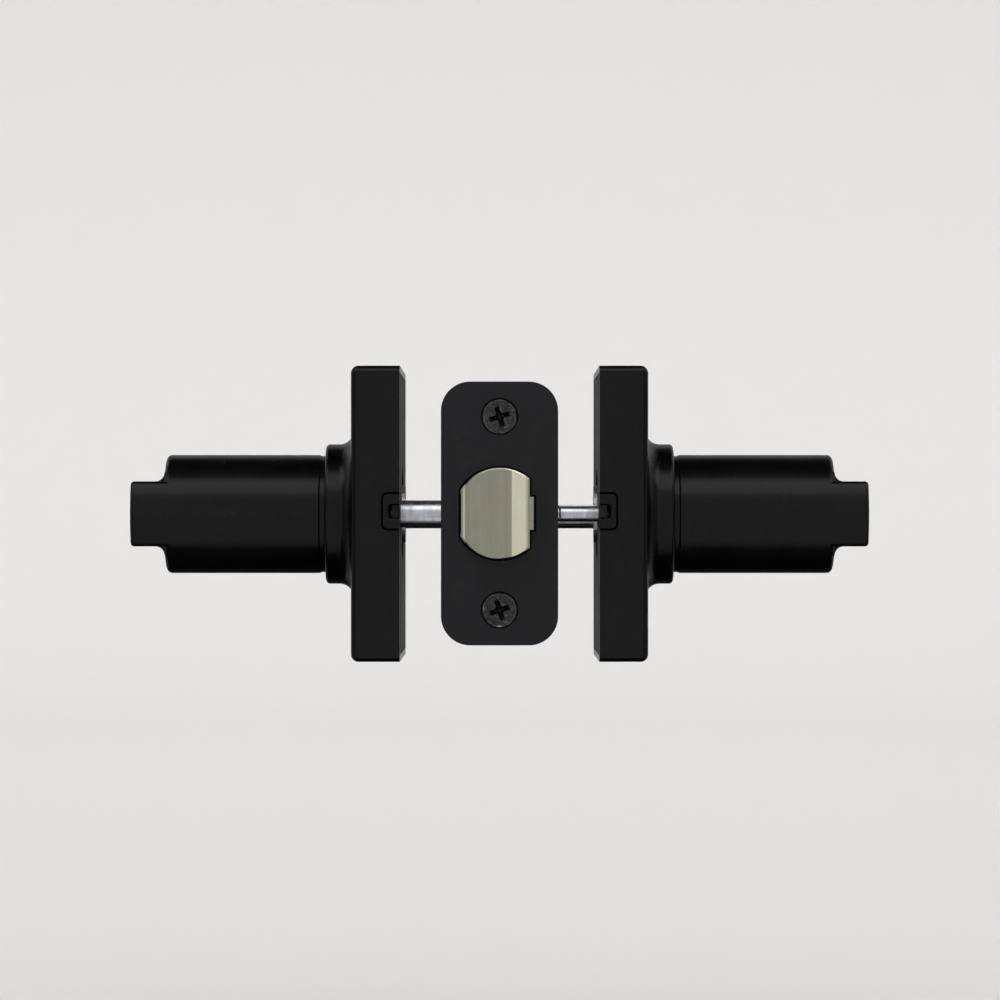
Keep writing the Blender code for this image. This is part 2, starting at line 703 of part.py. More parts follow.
def posts_and_screws():
    back = -(FACE + PLATE_THICK + FIT)
    head = FACE + PLATE_THICK + FIT
    bore = THROUGH_SCREW_R + FIT
    for name, end in (("front", -1), ("rear", 1)):
        at = (end * POST_Y, 0)
        post = turned(
            f"{name}_post",
            [
                (0, back + 2 * POST_FLANGE), (bore, back + 2 * POST_FLANGE), (bore, POST_END),
                (POST_R, POST_END), (POST_R, back), (POST_FLANGE_R, back),
                (POST_FLANGE_R, back - POST_FLANGE), (0, back - POST_FLANGE),
            ],
            "x", at,
        )
        finish(post, ZINC_PLATE)
        top = head + THROUGH_HEAD
        tip = POST_END - THROUGH_SCREW_IN
        screw = turned(
            f"{name}_through_screw",
            [(0, top), (THROUGH_CROWN_R, top), (THROUGH_HEAD_R, head + THROUGH_HEAD / 2)]
            + [(THROUGH_HEAD_R, head), (THROUGH_SCREW_R, head)]
            + [(THROUGH_SCREW_R, tip + THROUGH_SCREW_R), (THROUGH_SCREW_R / 2, tip), (0, tip)],
            "x", at,
        )
        cut(screw, *cross_recess(
            f"{name}_through_recess", "x", top, at, RECESS_SPAN, RECESS_ARM, RECESS_DEPTH
        ))
        finish(screw, ZINC_PLATE)


# Latch front


def latch_front():
    faceplate = sheet_along_y(
        "faceplate", rounded_outline(FACE_WIDTH, FACE_HEIGHT, FACE_CORNER), -BACKSET, -FACE_BACK
    )
    inset = 2 * BACK_INSET
    backplate = sheet_along_y(
        "backplate",
        rounded_outline(FACE_WIDTH - inset, FACE_HEIGHT - inset, FACE_CORNER - BACK_INSET),
        -BACK_FRONT, -BACK_REAR,
    )
    cut(faceplate, sheet_along_y("bolt_opening", bolt_outline(FIT), -BACKSET - FIT, -FACE_BACK + FIT))
    cut(backplate, rod("tube_opening", TUBE_R + FIT, "-y", BACK_REAR - FIT, BACK_FRONT + FIT, sides=FINE))
    sink = SCREW_HEAD_R - SCREW_R
    for name, sign in (("upper", 1), ("lower", -1)):
        at = (0, sign * SCREW_Z)
        grow = SINK_R - SCREW_HEAD_R
        cone = rod(
            f"countersink_{name}", SCREW_R + grow - FIT, "-y", BACKSET - sink - FIT, BACKSET + FIT, at,
            end_radius=SINK_R + FIT,
        )
        through = rod(f"screw_way_{name}", SCREW_R + grow, "-y", BACK_REAR - FIT, BACKSET, at)
        cut(faceplate, cone, through)
        cut(backplate, through)
        tip = BACKSET - SCREW_LENGTH
        screw = turned(
            f"faceplate_screw_{name}",
            [
                (0, BACKSET), (SCREW_HEAD_R, BACKSET), (SCREW_R, BACKSET - sink),
                (SCREW_R, tip + 3 * SCREW_R), (SCREW_R / 5, tip), (0, tip),
            ],
            "-y", at,
        )
        cut(screw, *cross_recess(
            f"screw_recess_{name}", "-y", BACKSET, at, RECESS_SPAN, RECESS_ARM, RECESS_DEPTH, RECESS_TURN
        ))
        finish(screw, BLACK_SCREW)
    finish(faceplate, MATT_BLACK)
    finish(backplate, ZINC_PLATE)


def latch_tube():
    tube = turned(
        "latch_tube",
        [
            (TUBE_BORE_R, BACK_FRONT), (TUBE_R, BACK_FRONT), (TUBE_R, TUBE_REAR),
            (TUBE_BORE_R, TUBE_REAR),
        ],
        "-y", sides=FINE, ring=True,
    )
    finish(tube, ZINC_PLATE)


def latch_bolt(axis_empty):
    """Bolt with a rounded bevel on its left, a flat tip, a guide rib and a slimmer hollow tail."""
    foot, tip = (BOLT_LEFT, BACKSET + BEVEL_START), (TIP_FROM, BOLT_TIP)
    chord = math.dist(foot, tip)
    middle = (foot[0] + tip[0]) / 2, (foot[1] + tip[1]) / 2
    drop = math.sqrt(BEVEL_R**2 - (chord / 2) ** 2) / chord
    centre = middle[0] + (tip[1] - foot[1]) * drop, middle[1] - (tip[0] - foot[0]) * drop
    start = math.degrees(math.atan2(foot[1] - centre[1], foot[0] - centre[0]))
    end = math.degrees(math.atan2(tip[1] - centre[1], tip[0] - centre[0]))
    wide = 2 * BOLT_R
    outline = arc(centre, BEVEL_R, start % 360, end % 360, 8)
    outline += [(wide, BOLT_TIP), (wide, BOLT_SHOULDER), (BOLT_LEFT - FIT, BOLT_SHOULDER)]
    outline += [(BOLT_LEFT - FIT, BACKSET + BEVEL_START)]
    bolt = sheet_along_y("latch_bolt", bolt_outline(0), -BOLT_TIP - FIT, -BOLT_SHOULDER)
    flat = Matrix(((1, 0, 0), (0, -1, 0), (0, 0, -1))).to_4x4()
    combine(bolt, sheet("bolt_bevel", outline, 3 * BOLT_R, flat), "INTERSECT")
    join(bolt, rod("bolt_tail", TAIL_R, "-y", BOLT_REAR, BOLT_SHOULDER + LIP))
    at = (STEM_OFFSET, 0)
    cut(
        bolt,
        rod("bolt_cavity", CAVITY_R, "-y", BOLT_REAR + LIP, BACKSET + CAVITY_END, at),
        rod("stem_way", STEM_R + FIT, "-y", BOLT_REAR - LIP, BOLT_REAR + 2 * LIP, at),
    )
    finish(bolt, BRIGHT_STEEL, axis_empty)


def coil(name, radius, wire_radius, start, end, turns, at=(0, 0), steps=10):
    """Compression spring along the latch, between two reaches of its outer faces."""
    first, last = start + wire_radius, end - wire_radius
    points = []
    for i in range(steps * turns + 1):
        angle = 2 * math.pi * i / steps
        reach = first + (last - first) * i / (steps * turns)
        points.append((at[0] + radius * math.cos(angle), -reach, at[1] + radius * math.sin(angle)))
    return wire(name, points, wire_radius)


# Latch inside


def latch_case(label, side):
    rear, front, flange = CASE_REAR, -CASE_FRONT, -TUBE_REAR - CASE_FLANGE
    inner, outer = CASE_GAP, CASE_GAP + CASE_SHEET
    tongue = math.sqrt((TUBE_BORE_R - FIT) ** 2 - outer**2)
    outline = [
        (rear, -CASE_HALF), (rear, CASE_HALF), (front, CASE_HALF), (front, tongue),
        (flange, tongue), (flange, -tongue), (front, -tongue), (front, -CASE_HALF),
    ]
    case = sheet_along_x(f"{label}_latch_case", outline, side * inner, side * outer)
    radius = TUBE_BORE_R - FIT
    edge = math.degrees(math.acos(inner / radius))
    moon = [(side * across, up) for across, up in arc((0, 0), radius, -edge, edge, 12)]
    join(case, sheet_along_y(f"{label}_case_flange", moon, flange, flange + CASE_FLANGE))
    low, high = (inner - FIT, outer + FIT) if side > 0 else (-outer - FIT, -inner + FIT)
    cut(case, rod(f"{label}_journal_hole", HUB_JOURNAL_R + FIT, "x", low, high))
    for name, end in (("front", -1), ("rear", 1)):
        cut(case, rod(f"{label}_{name}_post_way", POST_R + FIT, "x", low, high, (end * POST_Y, 0)))
    for i, (y, z) in enumerate((y, sign * z) for y, z in RIVET_PLACES for sign in (1, -1)):
        cut(case, rod(f"{label}_rivet_hole_{i}", RIVET_SHANK_R + FIT, "x", low, high, (y, z), SMALL))
    finish(case, ZINC_PLATE)


def rivets():
    outer = CASE_GAP + CASE_SHEET + FIT
    inner = CASE_GAP - FIT
    half = [(0, outer + RIVET_HEAD), (RIVET_R, outer + RIVET_HEAD), (RIVET_R, outer)]
    half += [(RIVET_SHANK_R, outer), (RIVET_SHANK_R, inner), (RIVET_R, inner)]
    profile = half + [(radius, -along) for radius, along in reversed(half)]
    places = [(y, sign * z) for y, z in RIVET_PLACES for sign in (1, -1)]
    for number, at in enumerate(places, 1):
        finish(turned(f"case_rivet_{number}", profile, "x", at, SMALL), ZINC_PLATE)


def lobe_outline(sign):
    """One arm of the hub: a finger whose back lies along the follower's face, on a web from the barrel."""
    lean = math.atan(FOLLOWER_SLOPE)
    tip = (-LOBE_R * math.sin(LOBE_LEAN), LOBE_R * math.cos(LOBE_LEAN))
    back = -math.degrees(lean)
    finger = arc(tip, LOBE_TIP_R, back + 180, back, 8)
    foot_z = FOLLOWER_LOW - FIT
    foot_y = finger[-1][0] - FOLLOWER_SLOPE * (finger[-1][1] - foot_z)
    heel = (foot_y - 2 * LOBE_TIP_R, foot_z - FIT)
    web = [(0, LOBE_WEB), (-LOBE_WEB, -LOBE_WEB / 3), heel]
    return [(y, sign * z) for y, z in finger + [(foot_y, foot_z)] + web]


def latch_hub(axis_empty):
    shoulder, journal = RETRACTOR_HALF + SLIDE, CASE_GAP - FIT
    end = CASE_GAP + CASE_SHEET + FIT
    half = [(0, end), (HUB_JOURNAL_R, end), (HUB_JOURNAL_R, journal), (HUB_SHOULDER_R, journal)]
    half += [(HUB_SHOULDER_R, shoulder), (HUB_R, shoulder)]
    hub = turned("latch_hub", half + [(radius, -along) for radius, along in reversed(half)], "x")
    for name, sign in (("upper", 1), ("lower", -1)):
        join(hub, sheet_along_x(f"lobe_{name}", lobe_outline(sign), -LOBE_THICK / 2, LOBE_THICK / 2))
    bore = d_outline(SPINDLE_R + FIT, SPINDLE_FLAT + FIT)
    cut(hub, sheet_along_x("hub_bore", bore, -end - FIT, end + FIT))
    finish(hub, STEEL, axis_empty)


def retractor(axis_empty):
    """A yoke round the hub: two pairs of arms, a bridge, followers for the lobes, spring ears and a stem."""
    piece = box(
        "retractor", (-RETRACTOR_HALF, -BRIDGE_FRONT, -ARM_HIGH),
        (RETRACTOR_HALF, FOLLOWER_REAR, ARM_HIGH),
    )
    channel = LOBE_THICK / 2 + SLIDE
    cut(
        piece,
        box("hub_window", (-ARM_HIGH, -BRIDGE_REAR, -ARM_LOW), (ARM_HIGH, CASE_REAR, ARM_LOW)),
        box("lobe_channel", (-channel, -BRIDGE_REAR, -CASE_HALF), (channel, CASE_REAR, CASE_HALF)),
    )
    tip_y, tip_z = -LOBE_R * math.sin(LOBE_LEAN), LOBE_R * math.cos(LOBE_LEAN)
    face = tip_y + (LOBE_TIP_R + FIT) * math.sqrt(1 + FOLLOWER_SLOPE**2)
    at_low = face + FOLLOWER_SLOPE * (FOLLOWER_LOW - tip_z)
    at_high = face + FOLLOWER_SLOPE * (CASE_HALF - tip_z)
    ear_rear = EAR_FRONT - EAR_THICK
    for name, sign in (("upper", 1), ("lower", -1)):
        outline = [
            (at_low, sign * FOLLOWER_LOW), (at_high, sign * CASE_HALF),
            (FOLLOWER_REAR, sign * CASE_HALF), (FOLLOWER_REAR, sign * FOLLOWER_LOW),
        ]
        wide = RETRACTOR_HALF - FIT
        arm_low = TAIL_R + SLIDE
        join(
            piece,
            sheet_along_x(f"follower_{name}", outline, -wide, wide),
            box(
                f"ear_arm_{name}", (-wide, -EAR_FRONT, sign * arm_low),
                (wide, -BRIDGE_FRONT + BRIDGE / 2, sign * ARM_HIGH),
            ),
            box(
                f"ear_{name}", (-EAR_HALF, -EAR_FRONT, sign * (arm_low + FIT)),
                (EAR_HALF, -ear_rear, sign * EAR_HIGH),
            ),
        )
    at = (STEM_OFFSET, 0)
    join(
        piece,
        rod("stem", STEM_R, "-y", BRIDGE_REAR + BRIDGE / 2, HEAD_REAR + STEM_HEAD / 2, at),
        rod("stem_head", STEM_HEAD_R, "-y", HEAD_REAR, HEAD_FRONT, at),
    )
    finish(piece, STEEL, axis_empty)


def latch_springs(retractor_axis):
    outer = coil(
        "retractor_spring", RETRACTOR_COIL_R, RETRACTOR_WIRE_R, TUBE_REAR + CASE_FLANGE + FIT,
        EAR_FRONT - EAR_THICK - FIT, RETRACTOR_TURNS, steps=14,
    )
    finish(outer, SPRING_STEEL)
    inner = coil(
        "bolt_spring", STEM_HEAD_R, BOLT_WIRE_R, HEAD_FRONT + FIT, BACKSET + CAVITY_END - FIT,
        BOLT_COIL_TURNS, (STEM_OFFSET, 0),
    )
    finish(inner, SPRING_STEEL, retractor_axis)


MATT_BLACK = metal("matt_black", (0.012, 0.012, 0.013), 0.45, 0.0)
BLACK_SCREW = metal("blackened_screw", (0.03, 0.03, 0.03), 0.45)
BRIGHT_STEEL = metal("bolt_steel", (0.45, 0.46, 0.42), 0.32)
ZINC_PLATE = metal("zinc_plate", (0.42, 0.43, 0.44), 0.4)
STEEL = metal("steel", (0.35, 0.35, 0.36), 0.35)
SPRING_STEEL = metal("spring_steel", (0.25, 0.25, 0.26), 0.35)

hub_axis = joint_axis("hub_axis")
retractor_axis = joint_axis("retractor_slide")
bolt_axis = joint_axis("bolt_slide", retractor_axis)
for label, side in SIDES.items():
    lever_axis = joint_axis(f"{label}_lever_axis")
    rose_cover(label, side)
    mounting_plate(label, side)
    return_spring(label, side)
    spring_cam(label, side, lever_axis)
    drive_sleeve(label, side, lever_axis)
    lever(label, side, lever_axis)
    latch_case(label, side)
    if side < 0:
        spindle(lever_axis)
posts_and_screws()
latch_front()
latch_tube()
latch_bolt(bolt_axis)
rivets()
latch_hub(hub_axis)
retractor(retractor_axis)
latch_springs(retractor_axis)
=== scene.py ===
import math

import bmesh
import bpy
from mathutils import Matrix, Vector


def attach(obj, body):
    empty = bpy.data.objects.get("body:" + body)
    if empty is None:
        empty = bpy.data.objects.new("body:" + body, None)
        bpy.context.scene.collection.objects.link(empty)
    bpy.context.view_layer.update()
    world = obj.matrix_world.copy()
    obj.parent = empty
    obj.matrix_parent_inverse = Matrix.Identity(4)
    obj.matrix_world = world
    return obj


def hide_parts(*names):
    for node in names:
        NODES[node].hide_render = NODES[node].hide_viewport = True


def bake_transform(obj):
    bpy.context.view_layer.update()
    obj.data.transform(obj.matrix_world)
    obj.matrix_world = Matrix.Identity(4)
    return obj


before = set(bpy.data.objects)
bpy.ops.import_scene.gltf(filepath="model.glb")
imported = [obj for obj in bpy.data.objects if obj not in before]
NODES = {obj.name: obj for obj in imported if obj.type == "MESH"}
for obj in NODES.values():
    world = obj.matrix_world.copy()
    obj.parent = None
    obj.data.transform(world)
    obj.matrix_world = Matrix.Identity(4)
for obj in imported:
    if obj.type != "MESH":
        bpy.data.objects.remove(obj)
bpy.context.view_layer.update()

# Lever set with a spring latch, seen towards the door's edge. The origin is on the spindle's axis in the middle
# of the door, +X runs out of the door's right face, -Y towards the latch bolt and +Z up. `out` is a distance
# from the door's middle along X, and `reach` one from the spindle towards the door's edge.

MM = 0.001
FIT = 0.3 * MM

# Sizes. Seats, bores and running surfaces are the frame's; roundings, grooves, recesses and threads are drawn here.
FACE = 22.225 * MM  # door's face
EDGE = 60.3 * MM  # door's edge
ROSE_FACE = 33.125 * MM
ROSE_WALL = 1.5 * MM
ROSE_HALF = 33.0 * MM
ROSE_ROUND = 1.7 * MM
COLLAR_R, COLLAR_TOP = 16.0 * MM, 39.725 * MM
COLLAR_ROUND, FLARE_OUT, FLARE_UP = 0.9 * MM, 4.2 * MM, 3.5 * MM
NECK_R, NECK_START, NECK_ROUND = 13.55 * MM, 32.525 * MM, 1.2 * MM
NECK_SLIM, NECK_STEP = 0.22 * MM, 1.3 * MM  # the neck is slimmer inside the collar and this far past its top
SHOULDER, BAR_FACE = 76.225 * MM, 83.825 * MM
BAR_HALF, BAR_DEPTH, BAR_REACH, BAR_ROUND = 7.4 * MM, 13.0 * MM, 112.0 * MM, 1.2 * MM
HEEL_FILLET = 2.1 * MM
BOSS_R, BOSS_END = 8.6 * MM, 44.025 * MM
SLEEVE_R, SLEEVE_END = 6.5 * MM, 57.025 * MM
LUG_LOW, LUG_TOP, LUG_HALF = 29.725 * MM, 34.225 * MM, 2.5 * MM
LUG_INNER, LUG_OUTER = 9.8 * MM, 12.9 * MM
SET_HOLE_OUT, SET_HOLE_R, SET_SINK_WIDTH, SET_SINK_DEPTH = 50.025 * MM, 2.05 * MM, 0.6 * MM, 0.35 * MM
SLOT_DEPTH, SLOT_LOW, SLOT_HIGH = 2.05 * MM, -0.95 * MM, 2.05 * MM
GROOVES = {  # round the slot: reach and half height of its line, corner, width, depth
    "inner": (2.3 * MM, 1.35 * MM, 0.4 * MM, 0.6 * MM, 1.0 * MM),
    "outer": (3.95 * MM, 4.05 * MM, 1.2 * MM, 0.5 * MM, 0.45 * MM),
}
FACE_HALF_WIDTH, FACE_HALF_HEIGHT, FACE_CORNER = 12.7 * MM, 28.575 * MM, 6.35 * MM
FACE_THICK, FACE_ROUND = 1.6 * MM, 0.22 * MM
SCREW_Z, SCREW_R, SCREW_HEAD_R, SINK_R = 20.95 * MM, 2.0 * MM, 3.7 * MM, 4.1 * MM
SCREW_LENGTH, SCREW_PITCH, SCREW_TAPER = 19.0 * MM, 1.25 * MM, 4.5 * MM
SCREW_ROOT, SCREW_SHANK, SCREW_CHAMFER = 1.35 * MM, 1.45 * MM, 0.12 * MM
RECESS_SPAN, RECESS_ARM, RECESS_DEPTH = 4.5 * MM, 1.15 * MM, 2.1 * MM
RECESS_TURN = math.radians(18)
BOLT_R, BOLT_LEFT, BOLT_RIGHT = 9.85 * MM, -8.4 * MM, 6.5 * MM
BOLT_RIB, RIB_HALF = 1.0 * MM, 3.55 * MM
BOLT_TIP, BOLT_SHOULDER, BOLT_REAR, BOLT_ROUND = 73.0 * MM, 54.0 * MM, 49.7 * MM, 0.5 * MM
BEVEL_FOOT, TIP_FROM = 62.5 * MM, 2.8 * MM
TIP_SLOPE, TIP_EASE = 0.36, 0.5  # the bevel's slope where it meets the tip, and the share of it that eases into that
LAND_TO, EASE_FROM = -7.35 * MM, 5.6 * MM
LAND_FALL, EASE_FALL, RIB_FALL = 0.36, 0.38, 1.0  # slopes of the land, of the tip's far side and of the rib
FRONT_FIT, BACK_FIT = 0.45 * MM, 0.04 * MM  # the opening's room round the bolt, at its front and its back
TAIL_R, CAVITY_R, CAVITY_END, STEM_X, STEM_WAY = 6.2 * MM, 3.9 * MM, 68.05 * MM, 1.2 * MM, 2.2 * MM
POST_Y, POST_R, POST_FLANGE_R = 19.05 * MM, 3.05 * MM, 4.0 * MM
POST_START, POST_END, POST_BACK, POST_BACK_EDGE = 24.125 * MM, 6.0 * MM, 25.325 * MM, 25.15 * MM
POST_CHAMFER, POST_MOUTH, POST_FLOOR = 0.3 * MM, 0.2 * MM, 2.0 * MM
THROUGH_R, THROUGH_HEAD_R, THROUGH_CROWN_R = 2.05 * MM, 3.9 * MM, 2.73 * MM
THROUGH_SEAT, THROUGH_HEAD, THROUGH_TIP = 24.125 * MM, 2.2 * MM, -3.0 * MM
THROUGH_ROOT, THROUGH_SHANK, THROUGH_PITCH, THREAD_END = 1.7 * MM, 1.75 * MM, 0.8 * MM, 14.0 * MM
RETURN_WIRE, RETURN_COIL, RETURN_TURNS = 0.55 * MM, 10.45 * MM, 2
RETURN_FIRST, RETURN_LAST, RETURN_LEG, ARM_HALF = 26.475 * MM, 29.275 * MM, 15.6 * MM, 2.0 * MM
YOKE_COIL, YOKE_WIRE, YOKE_START, YOKE_END, YOKE_TURNS = 9.3 * MM, 0.4 * MM, 24.3 * MM, 39.9 * MM, 3
PLUNGER_COIL, PLUNGER_WIRE, PLUNGER_START, PLUNGER_END, PLUNGER_TURNS = 3.3 * MM, 0.3 * MM, 53.3 * MM, 68.0 * MM, 4

SIDES = {"left": -1, "right": 1}
AXIS = {
    -1: Matrix(((0, 0, -1), (-1, 0, 0), (0, 1, 0))),  # local z along -X
    1: Matrix(((0, 0, 1), (1, 0, 0), (0, 1, 0))),  # local z along +X
}
FORWARD = Matrix(((1, 0, 0), (0, 0, -1), (0, 1, 0)))  # local z along -Y
DOWN = Matrix(((0, 1, 0), (1, 0, 0), (0, 0, -1)))  # local z along -Z
ENDS = {"front": -1, "rear": 1}
ROUND, FINE = 96, 128  # steps round a turned piece, and round a large one


# Modelling


def piece_from(name, shape, matrix=None):
    """A bmesh as an object whose own coordinates are the frame's."""
    if matrix:
        shape.transform(matrix.to_4x4())
    bmesh.ops.recalc_face_normals(shape, faces=shape.faces)
    mesh = bpy.data.meshes.new(name)
    shape.to_mesh(mesh)
    shape.free()
    made = bpy.data.objects.new(name, mesh)
    bpy.context.scene.collection.objects.link(made)
    return made


def settle(piece):
    """Turns a piece's modifiers into its mesh."""
    graph = bpy.context.evaluated_depsgraph_get()
    mesh = bpy.data.meshes.new_from_object(piece.evaluated_get(graph))
    piece.modifiers.clear()
    piece.data = mesh


def combine(piece, tools, operation):
    for tool in tools:
        step = piece.modifiers.new(tool.name, "BOOLEAN")
        step.operation = operation
        step.object = tool
        step.solver = "EXACT"
    settle(piece)
    for tool in tools:
        bpy.data.objects.remove(tool)


def join(piece, *tools):
    combine(piece, tools, "UNION")


def cut(piece, *tools):
    combine(piece, tools, "DIFFERENCE")


def round_edges(piece, width, segments, angle=40):
    step = piece.modifiers.new("rounding", "BEVEL")
    step.width = width
    step.segments = segments
    step.limit_method = "ANGLE"
    step.angle_limit = math.radians(angle)
    settle(piece)


def smooth(piece, angle=32):
    """Smooth shading that keeps flats flat and leaves edges over the angle sharp."""
    piece.data.shade_smooth()
    piece.data.set_sharp_from_angle(angle=math.radians(angle))
    step = piece.modifiers.new("flat faces", "WEIGHTED_NORMAL")
    step.keep_sharp = True
    settle(piece)


def loft(name, rings, matrix=None, closed=False):
    """A surface through rings of equally many points, with its ends filled unless it closes on itself."""
    shape = bmesh.new()
    rows = [[shape.verts.new(point) for point in ring] for ring in rings]
    count = len(rows[0])
    pairs = list(zip(rows, rows[1:] + rows[:1])) if closed else list(zip(rows, rows[1:]))
    for low, high in pairs:
        for i in range(count):
            j = (i + 1) % count
            shape.faces.new((low[i], low[j], high[j], high[i]))
    if not closed:
        shape.faces.new(reversed(rows[0]))
        shape.faces.new(rows[-1])
    bmesh.ops.remove_doubles(shape, verts=shape.verts, dist=1e-7)
    return piece_from(name, shape, matrix)


def circle(radius, along, steps=ROUND, at=(0, 0)):
    angles = [2 * math.pi * i / steps for i in range(steps)]
    return [(at[0] + radius * math.cos(a), at[1] + radius * math.sin(a), along) for a in angles]


def turned(name, profile, matrix, steps=ROUND, at=(0, 0)):
    """A turned piece from (radius, along) pairs."""
    return loft(name, [circle(radius, along, steps, at) for radius, along in profile], matrix)


def rod(name, radius, low, high, matrix, at=(0, 0), steps=ROUND, top_radius=None):
    top = radius if top_radius is None else top_radius
    return turned(name, [(radius, low), (top, high)], matrix, steps, at)


def block(name, low, high):
    shape = bmesh.new()
    bmesh.ops.create_cube(shape, size=1)
    for vert in shape.verts:
        for axis in range(3):
            ends = sorted((low[axis], high[axis]))
            vert.co[axis] = ends[0] if vert.co[axis] < 0 else ends[1]
    return piece_from(name, shape)


def arc(centre, radius, start, end, steps):
    angles = [math.radians(start + (end - start) * i / steps) for i in range(steps + 1)]
    return [(centre[0] + radius * math.cos(a), centre[1] + radius * math.sin(a)) for a in angles]


def sheet(name, outline, low, high, matrix):
    """A flat outline, filled from one height to another."""
    curve = bpy.data.curves.new(name, "CURVE")
    curve.dimensions = "2D"
    curve.fill_mode = "BOTH"
    curve.extrude = abs(high - low) / 2
    spline = curve.splines.new("POLY")
    spline.points.add(len(outline) - 1)
    for point, (across, up) in zip(spline.points, outline):
        point.co = (across, up, 0, 1)
    spline.use_cyclic_u = True
    drawn = bpy.data.objects.new(name, curve)
    bpy.context.scene.collection.objects.link(drawn)
    graph = bpy.context.evaluated_depsgraph_get()
    mesh = bpy.data.meshes.new_from_object(drawn.evaluated_get(graph))
    bpy.data.objects.remove(drawn)
    shape = bmesh.new()
    shape.from_mesh(mesh)
    bmesh.ops.remove_doubles(shape, verts=shape.verts, dist=1e-6)
    bmesh.ops.dissolve_limit(shape, angle_limit=0.001, verts=shape.verts, edges=shape.edges)
    shape.transform(Matrix.Translation((0, 0, (low + high) / 2)))
    return piece_from(name, shape, matrix)


def rounded_outline(half_width, half_height, corner, steps, centre=(0, 0)):
    across, up = half_width - corner, half_height - corner
    outline = []
    for x, z, start in ((across, up, 0), (-across, up, 90), (-across, -up, 180), (across, -up, 270)):
        outline += arc((centre[0] + x, centre[1] + z), corner, start, start + 90, steps)
    return outline


def wire(name, points, radius, sides=14):
    """A round wire along points, its ends closed and slightly domed."""
    tip_share, tip_reach = 0.75, 0.3
    points = [Vector(point) for point in points]
    rings, up = [], None
    for i, point in enumerate(points):
        before, after = points[max(i - 1, 0)], points[min(i + 1, len(points) - 1)]
        ahead = (after - before).normalized()
        if up is None:
            up = ahead.orthogonal()
        up = (up - ahead * up.dot(ahead)).normalized()
        across = ahead.cross(up)
        rings.append([
            point + radius * (math.cos(a) * up + math.sin(a) * across)
            for a in (2 * math.pi * s / sides for s in range(sides))
        ])
    for end, inward in ((0, 1), (-1, -1)):
        centre, ring = points[end], rings[end]
        tip = [centre + (corner - centre) * tip_share for corner in ring]
        ahead = (points[end + inward] - centre).normalized() * radius * tip_reach
        rings[end] = [corner + ahead for corner in ring]
        rings.insert(0 if inward > 0 else len(rings), tip)
    return loft(name, rings)


def threaded(radius, root, pitch, low, high, taper, steps, rows_per_turn=10):
    """Rings of (x, y, along) for a screw's shank: a helical ridge over a core, fading into a point at `low`."""
    ridge_width, point_share = 0.32, 0.12
    rings = []
    count = int((high - low) / pitch * rows_per_turn)
    for row in range(count + 1):
        along = low + (high - low) * row / count
        fade = min(1, (along - low) / taper)
        ring = []
        for i in range(steps):
            phase = (along / pitch - i / steps) % 1
            ridge = max(0, 1 - abs(phase - 0.5) / ridge_width)
            end = min(1, (high - along) / pitch)
            r = (root + (radius - root) * ridge * end) * (point_share + (1 - point_share) * fade)
            angle = 2 * math.pi * i / steps
            ring.append((r * math.cos(angle), r * math.sin(angle), along))
        rings.append(ring)
    return rings


def moved(rings, at):
    return [[(x + at[0], y + at[1], z) for x, y, z in ring] for ring in rings]


def cross_recess(name, top, matrix, at, turn):
    """A driver's cross: four wings that taper to a V at the bottom, round a pointed middle."""
    above, grow, foot_span, foot_arm = RECESS_DEPTH / 16, 1.03, 0.5, 0.12
    wings = []
    for label, spin in (("level", 0), ("upright", math.pi / 2)):
        shape = bmesh.new()
        bmesh.ops.create_cube(shape, size=1)
        for vert in shape.verts:
            deep = vert.co.z < 0
            vert.co.x *= RECESS_SPAN * (foot_span if deep else grow)
            vert.co.y *= RECESS_ARM * (foot_arm if deep else grow)
            vert.co.z = -RECESS_DEPTH if deep else above
        shape.transform(Matrix.Rotation(turn + spin, 4, "Z"))
        shape.transform(Matrix.Translation((*at, top)))
        wings.append(piece_from(f"{name}_{label}", shape, matrix))
    radius, point = RECESS_ARM * 0.9, (0.04 * MM, top - RECESS_DEPTH * 1.1)
    middle = turned(f"{name}_middle", [(radius, top + above), (radius, top), point], matrix, 24, at)
    join(wings[0], wings[1], middle)
    return wings[0]


# Shared effects


def new_group(name, inputs, outputs):
    """A node group with (name, default) number or vector inputs and named outputs."""
    group = bpy.data.node_groups.new(name, "ShaderNodeTree")
    for label, default in inputs:
        kind = "NodeSocketVector" if default is None else "NodeSocketFloat"
        socket = group.interface.new_socket(label, in_out="INPUT", socket_type=kind)
        if default is not None:
            socket.default_value = default
    for label, kind in outputs:
        group.interface.new_socket(label, in_out="OUTPUT", socket_type=kind)
    return group, group.nodes.new("NodeGroupInput"), group.nodes.new("NodeGroupOutput")


def node(tree, kind, links=(), **settings):
    """Adds a node; `links` are (input, value or socket) pairs and settings its properties."""
    made = tree.nodes.new(kind)
    for key, value in settings.items():
        setattr(made, key, value)
    for key, value in links:
        if isinstance(value, bpy.types.NodeSocket):
            tree.links.new(value, made.inputs[key])
        else:
            made.inputs[key].default_value = value
    return made


def maths(tree, operation, *values):
    return node(tree, "ShaderNodeMath", list(enumerate(values)), operation=operation).outputs[0]


def in_mm(tree, vector, stretch=(1, 1, 1)):
    scale = [part / MM for part in stretch]
    return node(tree, "ShaderNodeVectorMath", [(0, vector), (1, scale)], operation="MULTIPLY").outputs[0]


def noise(tree, vector, size, detail, roughness=0.55):
    """Noise whose features are `size` millimetres across, on a vector in millimetres."""
    if isinstance(size, bpy.types.NodeSocket):
        scale = maths(tree, "DIVIDE", 1.0, size)
    else:
        scale = 1 / size
    return node(
        tree, "ShaderNodeTexNoise",
        [("Vector", vector), ("Scale", scale), ("Detail", detail), ("Roughness", roughness)],
    ).outputs["Fac"]


